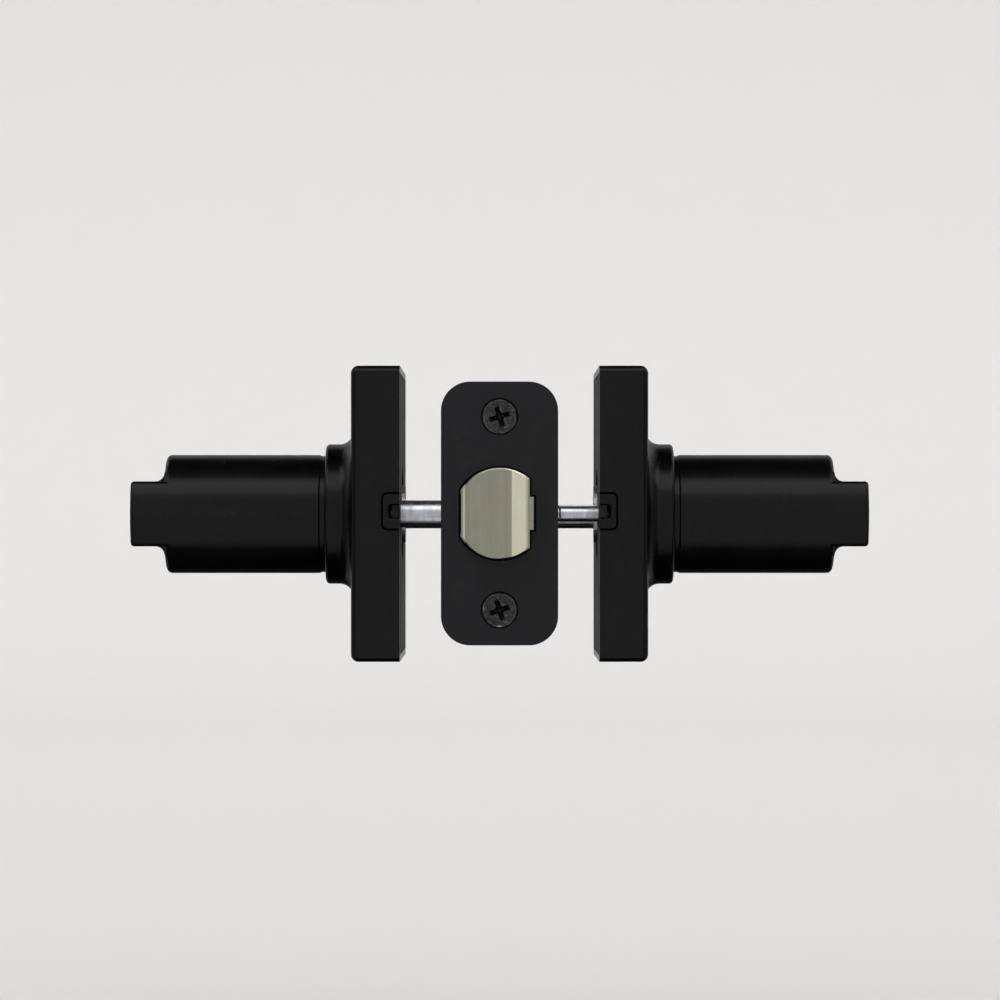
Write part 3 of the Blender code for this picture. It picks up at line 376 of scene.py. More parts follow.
def stretch_range(tree, value, low, high, to_low=0.0, to_high=1.0, soft=True):
    made = node(
        tree, "ShaderNodeMapRange",
        [("Value", value), ("From Min", low), ("From Max", high), ("To Min", to_low), ("To Max", to_high)],
        interpolation_type="SMOOTHSTEP" if soft else "LINEAR",
    )
    return made.outputs["Result"]


def grain_group():
    """Fine grain of a sprayed or plated coat: a height for bump, slow patches that vary its sheen, and specks."""
    group, given, result = new_group(
        "coat grain", [("Place", None), ("Grain size", 0.25), ("Patch size", 9.0)],
        [("Height", "NodeSocketFloat"), ("Patches", "NodeSocketFloat"), ("Specks", "NodeSocketFloat")],
    )
    place = in_mm(group, given.outputs["Place"])
    fine = noise(group, place, given.outputs["Grain size"], 2.0)
    peel = noise(group, place, maths(group, "MULTIPLY", given.outputs["Grain size"], 4.5), 2.0)
    height = maths(group, "ADD", maths(group, "MULTIPLY", fine, 0.45), maths(group, "MULTIPLY", peel, 0.55))
    group.links.new(height, result.inputs["Height"])
    patches = noise(group, place, given.outputs["Patch size"], 4.0, 0.6)
    group.links.new(stretch_range(group, patches, 0.3, 0.7), result.inputs["Patches"])
    specks = noise(group, place, maths(group, "MULTIPLY", given.outputs["Grain size"], 1.6), 4.0, 0.7)
    group.links.new(stretch_range(group, specks, 0.57, 0.72), result.inputs["Specks"])
    return group


def wear_group():
    """Rubbed outer edges, broken up by noise: 1 where the coat is thinned."""
    group, given, result = new_group(
        "edge wear", [("Place", None), ("Start", 0.52), ("Full", 0.62), ("Amount", 0.6)],
        [("Worn", "NodeSocketFloat")],
    )
    place = in_mm(group, given.outputs["Place"])
    edge = node(group, "ShaderNodeNewGeometry").outputs["Pointiness"]
    near = stretch_range(group, edge, given.outputs["Start"], given.outputs["Full"])
    broken = stretch_range(group, noise(group, place, 1.3, 5.0, 0.65), 0.38, 0.62)
    worn = maths(group, "MULTIPLY", maths(group, "MULTIPLY", near, broken), given.outputs["Amount"])
    group.links.new(worn, result.inputs["Worn"])
    return group


def lines_group():
    """Fine parallel lines left by drawing or rolling: `Place` is stretched beforehand so that they run one way."""
    group, given, result = new_group(
        "drawn lines", [("Stretched place", None), ("Line width", 0.12)],
        [("Height", "NodeSocketFloat"), ("Streaks", "NodeSocketFloat")],
    )
    place = given.outputs["Stretched place"]
    fine = noise(group, place, given.outputs["Line width"], 3.0, 0.6)
    group.links.new(fine, result.inputs["Height"])
    broad = noise(group, place, maths(group, "MULTIPLY", given.outputs["Line width"], 9.0), 4.0, 0.55)
    streaks = maths(group, "ADD", maths(group, "MULTIPLY", fine, 0.35), maths(group, "MULTIPLY", broad, 0.65))
    group.links.new(stretch_range(group, streaks, 0.35, 0.65), result.inputs["Streaks"])
    return group


def marks_group():
    """Handling marks: thin scratches in all directions and soft smears."""
    group, given, result = new_group(
        "handling marks", [("Place", None), ("Smear size", 14.0)],
        [("Scratches", "NodeSocketFloat"), ("Smears", "NodeSocketFloat")],
    )
    found = None
    for turn, size in ((0.5, 2.2), (1.9, 3.1), (2.8, 2.7)):
        spun = node(
            group, "ShaderNodeVectorRotate", [("Vector", given.outputs["Place"]), ("Angle", turn)],
            rotation_type="AXIS_ANGLE",
        )
        spun.inputs["Axis"].default_value = (0.5, 0.7, 0.3)
        line = noise(group, in_mm(group, spun.outputs[0], (0.06, 1.6, 1.6)), size / 4, 1.0)
        off_line = maths(group, "ABSOLUTE", maths(group, "SUBTRACT", line, 0.5))
        thin = stretch_range(group, off_line, 0.0, 0.006, 1.0, 0.0)
        gate = stretch_range(group, noise(group, in_mm(group, spun.outputs[0]), size * 2, 2.0), 0.56, 0.66)
        thin = maths(group, "MULTIPLY", thin, gate)
        found = thin if found is None else maths(group, "MAXIMUM", found, thin)
    group.links.new(found, result.inputs["Scratches"])
    smears = noise(group, in_mm(group, given.outputs["Place"], (1, 0.6, 1)), given.outputs["Smear size"], 5.0, 0.6)
    group.links.new(stretch_range(group, smears, 0.42, 0.7), result.inputs["Smears"])
    return group


GRAIN, WEAR, LINES, MARKS = grain_group(), wear_group(), lines_group(), marks_group()


# Finishes


def use_group(tree, group, **values):
    made = node(tree, "ShaderNodeGroup", node_tree=group)
    for key, value in values.items():
        socket = made.inputs[key.replace("_", " ")]
        if isinstance(value, bpy.types.NodeSocket):
            tree.links.new(value, socket)
        else:
            socket.default_value = value
    return made.outputs


def new_finish(name, metallic=0.0, specular=0.5):
    finish = bpy.data.materials.new(name)
    finish.use_nodes = True
    tree = finish.node_tree
    shader = tree.nodes["Principled BSDF"]
    shader.inputs["Metallic"].default_value = metallic
    shader.inputs["Specular IOR Level"].default_value = specular
    place = node(tree, "ShaderNodeTexCoord").outputs["Object"]
    return finish, tree, shader, place


def blend_colour(tree, amount, first, second):
    made = node(tree, "ShaderNodeMix", data_type="RGBA")
    for key, value in ((0, amount), (6, first), (7, second)):  # the node's factor and its two colours
        if isinstance(value, bpy.types.NodeSocket):
            tree.links.new(value, made.inputs[key])
        else:
            made.inputs[key].default_value = value if key == 0 else (*value, 1)
    return made.outputs[2]


def bump(tree, shader, height, distance):
    made = node(tree, "ShaderNodeBump", [("Height", height), ("Distance", distance), ("Strength", 1.0)])
    tree.links.new(made.outputs[0], shader.inputs["Normal"])


def coat_finish(name, colour, worn_colour, roughness, specular, grain, depth, wear, patchy=1.5):
    """A sprayed dark coat with grain, slow patches, faint smears and thinned edges."""
    finish, tree, shader, place = new_finish(name, 0.0, specular)
    coat = use_group(tree, GRAIN, Place=place, Grain_size=grain, Patch_size=9.0)
    marks = use_group(tree, MARKS, Place=place, Smear_size=13.0)
    worn = use_group(tree, WEAR, Place=place, Amount=wear)["Worn"]
    lighter = tuple(part * patchy for part in colour)
    base = blend_colour(tree, coat["Patches"], colour, lighter)
    base = blend_colour(tree, maths(tree, "MULTIPLY", marks["Scratches"], 0.25), base, worn_colour)
    base = blend_colour(tree, worn, base, worn_colour)
    tree.links.new(base, shader.inputs["Base Color"])
    rough = stretch_range(tree, coat["Patches"], 0.0, 1.0, roughness - 0.025, roughness + 0.025, soft=False)
    rough = maths(tree, "SUBTRACT", rough, maths(tree, "MULTIPLY", marks["Smears"], 0.03))
    rough = maths(tree, "SUBTRACT", rough, maths(tree, "MULTIPLY", worn, 0.12))
    tree.links.new(rough, shader.inputs["Roughness"])
    bump(tree, shader, coat["Height"], depth)
    return finish


def metal_finish(name, colour, deep_colour, roughness, stretch, line_width, depth, stain=None):
    """Bare or plated metal with lines one way, tone streaks, smears and scratches."""
    finish, tree, shader, place = new_finish(name, 1.0)
    lines = use_group(tree, LINES, Stretched_place=in_mm(tree, place, stretch), Line_width=line_width)
    coat = use_group(tree, GRAIN, Place=place, Grain_size=0.18, Patch_size=5.0)
    marks = use_group(tree, MARKS, Place=place, Smear_size=8.0)
    worn = use_group(tree, WEAR, Place=place, Amount=0.5)["Worn"]
    base = blend_colour(tree, lines["Streaks"], deep_colour, colour)
    base = blend_colour(tree, maths(tree, "MULTIPLY", coat["Patches"], 0.35), base, deep_colour)
    if stain:
        blotches = use_group(tree, GRAIN, Place=place, Grain_size=0.6, Patch_size=4.0)["Patches"]
        base = blend_colour(tree, maths(tree, "MULTIPLY", blotches, 0.6), base, stain)
    bright = tuple(min(1, part * 1.25) for part in colour)
    base = blend_colour(tree, worn, base, bright)
    tree.links.new(base, shader.inputs["Base Color"])
    rough = stretch_range(tree, lines["Streaks"], 0.0, 1.0, roughness + 0.06, roughness - 0.04, soft=False)
    rough = maths(tree, "ADD", rough, maths(tree, "MULTIPLY", marks["Smears"], 0.08))
    tree.links.new(rough, shader.inputs["Roughness"])
    height = maths(tree, "MULTIPLY", lines["Height"], 0.7)
    height = maths(tree, "ADD", height, maths(tree, "MULTIPLY", coat["Height"], 0.3))
    height = maths(tree, "SUBTRACT", height, maths(tree, "MULTIPLY", marks["Scratches"], 0.3))
    bump(tree, shader, height, depth)
    return finish


def speckled_finish(name, colour, bright, roughness):
    """Blackened steel, its blackening thin enough to show bright specks."""
    finish, tree, shader, place = new_finish(name, 0.75, 0.4)
    coat = use_group(tree, GRAIN, Place=place, Grain_size=0.2, Patch_size=1.1)
    marks = use_group(tree, MARKS, Place=place, Smear_size=3.0)
    worn = use_group(tree, WEAR, Place=place, Amount=0.8)["Worn"]
    base = blend_colour(tree, coat["Patches"], colour, tuple(part * 2.1 for part in colour))
    base = blend_colour(tree, maths(tree, "MULTIPLY", coat["Specks"], 0.8), base, bright)
    base = blend_colour(tree, worn, base, bright)
    tree.links.new(base, shader.inputs["Base Color"])
    rough = maths(tree, "ADD", maths(tree, "MULTIPLY", coat["Patches"], 0.12), roughness)
    rough = maths(tree, "SUBTRACT", rough, maths(tree, "MULTIPLY", marks["Smears"], 0.06))
    tree.links.new(rough, shader.inputs["Roughness"])
    bump(tree, shader, coat["Height"], 0.02 * MM)
    return finish


# each: name, colour, worn colour, roughness, specular, grain size in mm, grain depth
COAT = coat_finish(
    "matt black coat", (0.0016, 0.0016, 0.0017), (0.016, 0.016, 0.017), 0.26, 0.15, 0.22, 0.0025 * MM, wear=0.15
)
FRONT_BLACK = coat_finish(
    "black latch front", (0.0058, 0.0060, 0.0074), (0.040, 0.040, 0.043), 0.46, 0.20, 0.30, 0.006 * MM,
    wear=0.06, patchy=1.25,
)
PLATE_BLACK = coat_finish(
    "black dipped plate", (0.0030, 0.0030, 0.0032), (0.04, 0.04, 0.04), 0.62, 0.14, 0.35, 0.008 * MM, wear=0.3
)
SCREW_BLACK = speckled_finish("blackened screw", (0.017, 0.017, 0.0165), (0.30, 0.30, 0.28), 0.40)
# each: name, colour, deeper colour, roughness, how the lines are stretched, their width in mm, their depth
NICKEL = metal_finish(
    "satin nickel bolt", (0.66, 0.67, 0.56), (0.54, 0.55, 0.43), 0.22, (1, 1, 0.05), 0.35, 0.005 * MM,
    stain=(0.60, 0.56, 0.41),
)
ZINC = metal_finish(
    "zinc plated sheet", (0.60, 0.62, 0.65), (0.44, 0.46, 0.50), 0.40, (1, 0.08, 1), 0.20, 0.006 * MM
)
ZINC_TURNED = metal_finish(
    "zinc plated turned piece", (0.62, 0.63, 0.65), (0.46, 0.47, 0.50), 0.30, (1, 0.25, 0.25), 0.15, 0.006 * MM
)
STEEL = metal_finish(
    "machined steel", (0.52, 0.51, 0.50), (0.34, 0.33, 0.33), 0.34, (0.08, 1, 1), 0.18, 0.006 * MM
)
SINTERED = metal_finish(
    "pressed powder steel", (0.36, 0.35, 0.34), (0.22, 0.215, 0.21), 0.46, (1, 1, 1), 0.30, 0.014 * MM
)
SPRING = metal_finish(
    "oiled spring wire", (0.38, 0.36, 0.33), (0.20, 0.19, 0.18), 0.26, (1, 1, 1), 0.40, 0.004 * MM
)


def finish_with(piece, finish, body, replaced):
    """Gives a made piece its finish and body, and hides the frame's node that it stands in for."""
    piece.data.materials.clear()
    piece.data.materials.append(finish)
    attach(piece, body)
    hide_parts(replaced)


def repaint(names, finish):
    """A finish on the frame's own nodes."""
    for name in names:
        for slot in NODES[name].material_slots:
            slot.link = "OBJECT"
            slot.material = finish


# Roses


def groove(name, side, end, reach, half_height, corner, width, depth):
    """A V groove with rounded corners round the removal slot."""
    centre = side * FACE, (SLOT_LOW + SLOT_HIGH) / 2
    outlines = [
        rounded_outline(reach + grow, half_height + grow, corner + grow, 8, centre)
        for grow in (width / 2, 0, -width / 2)
    ]
    surface, foot = -end * (ROSE_HALF + depth / 20), -end * (ROSE_HALF - depth)
    rings = [
        [(*outer, surface), (*middle, foot), (*inner, surface)] for outer, middle, inner in zip(*outlines)
    ]
    return loft(name, rings, FORWARD, closed=True)


def rose_cover(label, side):
    cover = block(f"{label}_rose", (side * FACE, -ROSE_HALF, -ROSE_HALF), (side * ROSE_FACE, ROSE_HALF, ROSE_HALF))
    shape = bmesh.new()
    shape.from_mesh(cover.data)
    outer = [e for e in shape.edges if any(abs(abs(v.co.x) - FACE) > 1e-6 for v in e.verts)]  # not the door side's
    bmesh.ops.bevel(shape, geom=outer, offset=ROSE_ROUND, segments=7, profile=0.5, affect="EDGES")
    shape.to_mesh(cover.data)
    shape.free()
    edge = COLLAR_R - COLLAR_ROUND, COLLAR_TOP - COLLAR_ROUND
    flare = [
        (COLLAR_R + FLARE_OUT * (1 + out), ROSE_FACE + FLARE_UP * (1 + up))
        for out, up in arc((0, 0), 1, 180, 270, 14)
    ]
    foot = ROSE_FACE - ROSE_WALL / 2
    collar = turned(
        f"{label}_collar",
        [(NECK_R - FIT, COLLAR_TOP)] + arc(edge, COLLAR_ROUND, 90, 0, 8)
        + flare + [(flare[-1][0], foot), (NECK_R - FIT, foot)],
        AXIS[side], FINE,
    )
    inner = ROSE_HALF - ROSE_WALL
    hollow = block(
        f"{label}_hollow", (side * (FACE - ROSE_WALL), -inner, -inner), (side * (ROSE_FACE - ROSE_WALL), inner, inner)
    )
    join(cover, collar)
    bore = rod(f"{label}_bore", NECK_R + FIT, FACE, COLLAR_TOP + ROSE_WALL, AXIS[side], steps=FINE)
    tools = [hollow, bore]
    for name, end in ENDS.items():
        tools.append(block(
            f"{label}_slot_{name}", (side * (FACE - ROSE_WALL), end * (inner - ROSE_WALL), SLOT_LOW),
            (side * (FACE + SLOT_DEPTH), end * (ROSE_HALF + ROSE_WALL), SLOT_HIGH),
        ))
        for which, sizes in GROOVES.items():
            tools.append(groove(f"{label}_{which}_groove_{name}", side, end, *sizes))
    cut(cover, *tools)
    smooth(cover)
    finish_with(cover, COAT, "root", f"{label}_rose_cover")


# Levers


def lever(label, side):
    slim_r, slim_end = NECK_R - NECK_SLIM, COLLAR_TOP + NECK_STEP
    bearing, socket, middle = BOSS_R + FIT, SLEEVE_R + FIT, 0.2 * MM
    edge = NECK_R - NECK_ROUND, SHOULDER - NECK_ROUND
    neck = turned(
        f"{label}_lever_body",
        [(middle, SLEEVE_END + FIT), (socket, SLEEVE_END + FIT)]
        + [(socket, BOSS_END + FIT), (bearing, BOSS_END + FIT)]
        + [(bearing, NECK_START), (slim_r - FIT, NECK_START), (slim_r, NECK_START + FIT)]
        + [(slim_r, slim_end - NECK_SLIM), (NECK_R - NECK_SLIM / 3, slim_end), (NECK_R, slim_end + NECK_SLIM)]
        + arc(edge, NECK_ROUND, 0, 90, 8) + [(middle, SHOULDER)],
        AXIS[side], FINE,
    )
    heel = math.degrees(math.asin(BAR_HALF / NECK_R))
    inner = BAR_FACE - BAR_DEPTH
    outline = arc((0, 0), NECK_R, 180 + heel, 180 - heel, 20)
    outline += [(BAR_REACH, BAR_HALF), (BAR_REACH, -BAR_HALF)]
    bar = sheet(f"{label}_bar", outline, side * inner, side * BAR_FACE, AXIS[1])
    round_edges(bar, BAR_ROUND, 6)
    cut(bar, block(
        f"{label}_core", (side * (inner - FIT), -NECK_R - FIT, -NECK_R),
        (side * (SHOULDER - NECK_ROUND - FIT / 5), NECK_R / 2, NECK_R),
    ))
    run = NECK_R * math.cos(math.asin((BAR_HALF + HEEL_FILLET) / NECK_R)) - FIT
    fillets = []
    for name, sign in (("upper", 1), ("lower", -1)):
        centre = SHOULDER + HEEL_FILLET, BAR_HALF + HEEL_FILLET
        corner = [(centre[0], BAR_HALF - NECK_ROUND), (SHOULDER - NECK_ROUND, BAR_HALF - NECK_ROUND)]
        corner += [(SHOULDER - NECK_ROUND, centre[1])]
        outline = [(side * out, sign * up) for out, up in arc(centre, HEEL_FILLET, 180, 270, 10) + corner]
        fillets.append(sheet(f"{label}_fillet_{name}", outline, -run, run, FORWARD))
    lugs = [
        block(
            f"{label}_lug_{name}", (side * LUG_LOW, end * LUG_INNER, -LUG_HALF),
            (side * LUG_TOP, end * LUG_OUTER, LUG_HALF),
        )
        for name, end in ENDS.items()
    ]
    join(neck, bar, *fillets, *lugs)
    at = (0, side * SET_HOLE_OUT)
    hole = rod(f"{label}_set_hole", SET_HOLE_R, SLEEVE_R, NECK_R + FIT, DOWN, at, 40)
    sink = rod(
        f"{label}_set_sink", SET_HOLE_R, NECK_R - SET_SINK_DEPTH, NECK_R + FIT, DOWN, at, 40,
        SET_HOLE_R + SET_SINK_WIDTH,
    )
    cut(neck, hole, sink)
    smooth(neck)
    finish_with(neck, COAT, f"{label}_lever", f"{label}_lever")


# Latch front


def bolt_section(grow):
    """The bolt's outline with its rib, from the rib round by the top, anticlockwise."""
    radius, left, right = BOLT_R + grow, BOLT_LEFT - grow, BOLT_RIGHT + grow
    stations = []
    spans = ((right, EASE_FROM, 3), (EASE_FROM, TIP_FROM, 4), (TIP_FROM, LAND_TO, 26), (LAND_TO, left, 4))
    for start, end, steps in spans:
        stations += [start + (end - start) * i / steps for i in range(steps)]
    top = [(x, math.sqrt(radius**2 - x**2)) for x in stations + [left]]
    rib, half = right + BOLT_RIB, RIB_HALF + grow
    upper = [(rib, half), (right, half)] + top
    return upper + [(x, -z) for x, z in reversed(upper)]


def faceplate():
    rim = rounded_outline(FACE_HALF_WIDTH, FACE_HALF_HEIGHT, FACE_CORNER, 16)
    plate = sheet("latch_front", rim, EDGE - FACE_THICK, EDGE, FORWARD)
    round_edges(plate, FACE_ROUND, 3, 60)
    opening = ((BACK_FIT, 2), (BACK_FIT, 1), (FRONT_FIT, 0), (FRONT_FIT, -1))
    rings = [[(x, z, EDGE - FACE_THICK * depth) for x, z in bolt_section(fit)] for fit, depth in opening]
    tools = [loft("bolt_opening", rings, FORWARD)]
    depth, grow = SCREW_HEAD_R - SCREW_R, SINK_R - SCREW_HEAD_R
    lip_in, lip_down, lip_out = 0.05 * MM, 0.12 * MM, 0.25 * MM  # the countersink's softened edge
    for sign in (1, -1):
        at = (0, sign * SCREW_Z)
        tools.append(turned(
            f"sink_{sign}",
            [(SCREW_R + grow, EDGE - 2 * FACE_THICK), (SCREW_R + grow - FIT, EDGE - depth - FIT)]
            + [(SINK_R - lip_in, EDGE - lip_down), (SINK_R + lip_out, EDGE + FIT)],
            FORWARD, 64, at,
        ))
    cut(plate, *tools)
    smooth(plate)
    finish_with(plate, FRONT_BLACK, "root", "faceplate")


def bevel_height(x):
    """How far the bolt's front reaches at x: a narrow land, the curved bevel, the flat tip and its eased far side."""
    if x <= LAND_TO:
        return BEVEL_FOOT - LAND_FALL * (LAND_TO - x)
    if x >= TIP_FROM:
        eased, ribbed = max(0, x - EASE_FROM), max(0, x - BOLT_RIGHT)
        return BOLT_TIP - EASE_FALL * eased - RIB_FALL * ribbed
    width = TIP_FROM - LAND_TO
    share = (TIP_FROM - x) / width
    ease = TIP_EASE * (1 - math.exp(-1 / TIP_EASE))
    slope = ((BOLT_TIP - BEVEL_FOOT) / width - TIP_SLOPE * ease) / (1 - ease)
    return BOLT_TIP - width * (slope * share - (slope - TIP_SLOPE) * TIP_EASE * (1 - math.exp(-share / TIP_EASE)))


def bolt():
    """The bolt's front: its outline drawn in over a small rounding, then strips across the bevel and tip."""
    steps = 9
    section = bolt_section(0)
    count = len(section)
    normals = []
    for i in range(count):
        before, after = section[i - 1], section[(i + 1) % count]
        along = Vector((after[0] - before[0], after[1] - before[1])).normalized()
        normals.append(Vector((along.y, -along.x)))
    rings = [[(x, z, BOLT_SHOULDER) for x, z in section]]
    for step in range(steps + 1):
        angle = math.pi / 2 * step / steps
        inset, fall = BOLT_ROUND * (1 - math.cos(angle)), BOLT_ROUND * (1 - math.sin(angle))
        ring = []
        for (x, z), normal in zip(section, normals):
            inner = Vector((x, z)) - normal * inset
            ring.append((inner.x, inner.y, bevel_height(inner.x) - fall))
        rings.append(ring)
    shape = bmesh.new()
    rows = [[shape.verts.new(point) for point in ring] for ring in rings]
    for low, high in zip(rows, rows[1:]):
        for i in range(count):
            j = (i + 1) % count
            shape.faces.new((low[i], low[j], high[j], high[i]))
    last, half = rows[-1], count // 2
    for i in range(half - 1):
        shape.faces.new((last[i], last[i + 1], last[count - 2 - i], last[count - 1 - i]))
    shape.faces.new(reversed(rows[0]))
    front = piece_from("spring_bolt", shape, FORWARD)
    join(front, rod("tail", TAIL_R, BOLT_REAR, BOLT_SHOULDER + 2 * MM, FORWARD, steps=64))
    at = (STEM_X, 0)
    cut(
        front,
        rod("cavity", CAVITY_R, BOLT_REAR + ROSE_WALL, CAVITY_END, FORWARD, at, 48),
        rod("stem_way", STEM_WAY, BOLT_REAR - ROSE_WALL, BOLT_REAR + 2 * ROSE_WALL, FORWARD, at, 48),
    )
    smooth(front, 12)
    finish_with(front, NICKEL, "bolt", "latch_bolt")


def wood_screw(name, sign):
    steps = 48
    seat = EDGE - (SCREW_HEAD_R - SCREW_R)
    shank = (
        # radius, along
        (SCREW_SHANK, seat - 1.5 * MM), (SCREW_SHANK + 0.05 * MM, seat - 0.4 * MM), (SCREW_R, seat),
        (SCREW_HEAD_R - SCREW_CHAMFER, EDGE - 0.3 * MM), (SCREW_HEAD_R, EDGE - 0.14 * MM),
        (SCREW_HEAD_R - SCREW_CHAMFER, EDGE - 0.02 * MM), (SCREW_HEAD_R - 0.4 * MM, EDGE),
    )
    rings = threaded(SCREW_R, SCREW_ROOT, SCREW_PITCH, EDGE - SCREW_LENGTH, seat - 1.6 * MM, SCREW_TAPER, steps)
    rings += [circle(radius, along, steps) for radius, along in shank]
    at = (0, sign * SCREW_Z)
    screw = loft(f"{name}_wood_screw", moved(rings, at), FORWARD)
    cut(screw, cross_recess(f"{name}_cross", EDGE, FORWARD, at, RECESS_TURN))
    smooth(screw, 35)
    finish_with(screw, SCREW_BLACK, "root", f"faceplate_screw_{name}")


# Posts and through screws


def post(name, end):
    at, start, bore = (end * POST_Y, 0), -POST_START, THROUGH_R + FIT
    profile = [(POST_FLANGE_R - 0.1 * MM, -POST_BACK), (POST_FLANGE_R, -POST_BACK_EDGE), (POST_FLANGE_R, start)]
    profile += [(POST_R, start), (POST_R, POST_END - POST_CHAMFER), (POST_R - POST_CHAMFER, POST_END)]
    profile += [(bore + POST_MOUTH, POST_END), (bore, POST_END - POST_MOUTH), (bore, start + POST_FLOOR)]
    made = turned(f"{name}_threaded_post", profile, AXIS[1], 56, at)
    smooth(made)
    finish_with(made, ZINC_TURNED, "root", f"{name}_post")


def through_screw(name, end):
    at, steps = (end * POST_Y, 0), 48
    top, round_r = THROUGH_SEAT + THROUGH_HEAD, THROUGH_HEAD / 2
    shank = [
        # radius, along
        (THROUGH_SHANK, THREAD_END + 0.2 * MM), (THROUGH_SHANK, THROUGH_SEAT - 0.3 * MM),
        (THROUGH_R, THROUGH_SEAT), (THROUGH_HEAD_R - 0.15 * MM, THROUGH_SEAT),
        (THROUGH_HEAD_R, THROUGH_SEAT + 0.15 * MM),
    ]
    shank += arc((THROUGH_CROWN_R, THROUGH_SEAT + round_r), round_r, 0, 90, 7) + [(0.3 * MM, top)]
    rings = threaded(THROUGH_R, THROUGH_ROOT, THROUGH_PITCH, THROUGH_TIP, THREAD_END, 0.9 * MM, steps, 8)
    rings += [circle(radius, along, steps) for radius, along in shank]
    screw = loft(f"{name}_machine_screw", moved(rings, at), AXIS[1])
    cut(screw, cross_recess(f"{name}_through_cross", top, AXIS[1], at, 0.4 + end * 0.3))
    smooth(screw, 35)
    finish_with(screw, ZINC_TURNED, "root", f"{name}_through_screw")


# Springs


def finish_spring(spring, replaced):
    """Smooths a spring, gives it its finish, bakes its placement and hides the frame's node that it stands in for."""
    smooth(spring, 50)
    spring.data.materials.append(SPRING)
    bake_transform(spring)
    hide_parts(replaced)


def return_spring(label, side):
    """Torsion spring: one leg against the plate's tab, the other against the cam's arm."""
    leg_y, leg_foot = ARM_HALF + FIT + RETURN_WIRE, RETURN_LEG - 2 * MM
    lean = math.asin(leg_y / RETURN_COIL)
    turns = 2 * math.pi * RETURN_TURNS + 2 * lean
    steps = 48 * RETURN_TURNS
    points = [(side * RETURN_FIRST, -leg_y, RETURN_LEG), (side * RETURN_FIRST, -leg_y, leg_foot)]
    for i in range(steps + 1):
        angle = -lean + turns * i / steps
        points.append((
            side * (RETURN_FIRST + (RETURN_LAST - RETURN_FIRST) * i / steps),
            RETURN_COIL * math.sin(angle), RETURN_COIL * math.cos(angle),
        ))
    points += [(side * RETURN_LAST, leg_y, leg_foot), (side * RETURN_LAST, leg_y, RETURN_LEG)]
    spring = wire(f"{label}_torsion_spring", points, RETURN_WIRE)
    finish_spring(spring, f"{label}_return_spring")


def coil(name, radius, wire_radius, start, end, turns, at=(0, 0)):
    """Compression spring along the latch with closed end turns, between two reaches of its outer faces."""
    first, last = start + wire_radius, end - wire_radius
    points, steps, gathered = [], 40, 0.12  # how far the end turns are drawn together
    for i in range(steps * turns + 1):
        turn = i / steps
        angle = 2 * math.pi * turn
        share = (turn / turns - 0.5) * 2
        share = 0.5 + 0.5 * ((1 + gathered) * share - gathered * share**3 * abs(share))
        reach = first + (last - first) * share
        points.append((at[0] + radius * math.cos(angle), -reach, at[1] + radius * math.sin(angle)))
    return wire(name, points, wire_radius, 12)


def latch_springs():
    yoke = coil("yoke_spring", YOKE_COIL, YOKE_WIRE, YOKE_START, YOKE_END, YOKE_TURNS)
    finish_spring(yoke, "retractor_spring")
    plunger = coil(
        "plunger_spring", PLUNGER_COIL, PLUNGER_WIRE, PLUNGER_START, PLUNGER_END, PLUNGER_TURNS, (STEM_X, 0)
    )
    finish_spring(plunger, "bolt_spring")


for label, side in SIDES.items():
    rose_cover(label, side)
    lever(label, side)
    return_spring(label, side)
faceplate()
bolt()
wood_screw("upper", 1)
wood_screw("lower", -1)
for name, end in ENDS.items():
    post(name, end)
    through_screw(name, end)
latch_springs()

repaint(["left_mounting_plate", "right_mounting_plate"], PLATE_BLACK)
repaint(["backplate", "latch_tube", "left_latch_case", "right_latch_case"], ZINC)
repaint([f"case_rivet_{number}" for number in range(1, 5)], ZINC_TURNED)
repaint(["spindle", "left_drive_sleeve", "right_drive_sleeve", "left_set_screw", "right_set_screw"], STEEL)
repaint(["latch_hub", "retractor", "left_spring_cam", "right_spring_cam"], SINTERED)
repaint(["left_retaining_ring", "right_retaining_ring"], SPRING)


# Stage, light and camera


def stage():
    """A pale floor that curves up into a round wall, open above and clear from behind."""
    floor, flat, sweep, top = -0.13, 2.0, 1.0, 3.4
    profile = [(0.01, floor), (0.5, floor), (flat, floor)] + arc((flat, floor + sweep), sweep, 270, 360, 16)
    profile.append((flat + sweep, top))
    shape = bmesh.new()
    rows = [[shape.verts.new(point) for point in circle(radius, up)] for radius, up in profile]
    for low, high in zip(rows, rows[1:]):
        for i in range(ROUND):
            j = (i + 1) % ROUND
            shape.faces.new((low[i], low[j], high[j], high[i]))
    shape.faces.new(rows[0])
    bmesh.ops.recalc_face_normals(shape, faces=shape.faces)
    shape.normal_update()
    if sum(face.normal.z for face in shape.faces) < 0:
        bmesh.ops.reverse_faces(shape, faces=shape.faces)
    mesh = bpy.data.meshes.new("stage")
    shape.to_mesh(mesh)
    shape.free()
    mesh.shade_smooth()
    made = bpy.data.objects.new("stage", mesh)
    bpy.context.scene.collection.objects.link(made)
    paper = bpy.data.materials.new("pale paper")
    paper.use_nodes = True
    tree = paper.node_tree
    shader = tree.nodes["Principled BSDF"]
    shader.inputs["Base Color"].default_value = (0.66, 0.655, 0.65, 1)
    shader.inputs["Roughness"].default_value = 0.9
    shader.inputs["Specular IOR Level"].default_value = 0.1
    clear = tree.nodes.new("ShaderNodeBsdfTransparent")
    behind = node(tree, "ShaderNodeNewGeometry").outputs["Backfacing"]
    mixed = node(tree, "ShaderNodeMixShader", [(0, behind), (1, shader.outputs[0]), (2, clear.outputs[0])])
    tree.links.new(mixed.outputs[0], tree.nodes["Material Output"].inputs["Surface"])
    mesh.materials.append(paper)
    made.visible_glossy = False


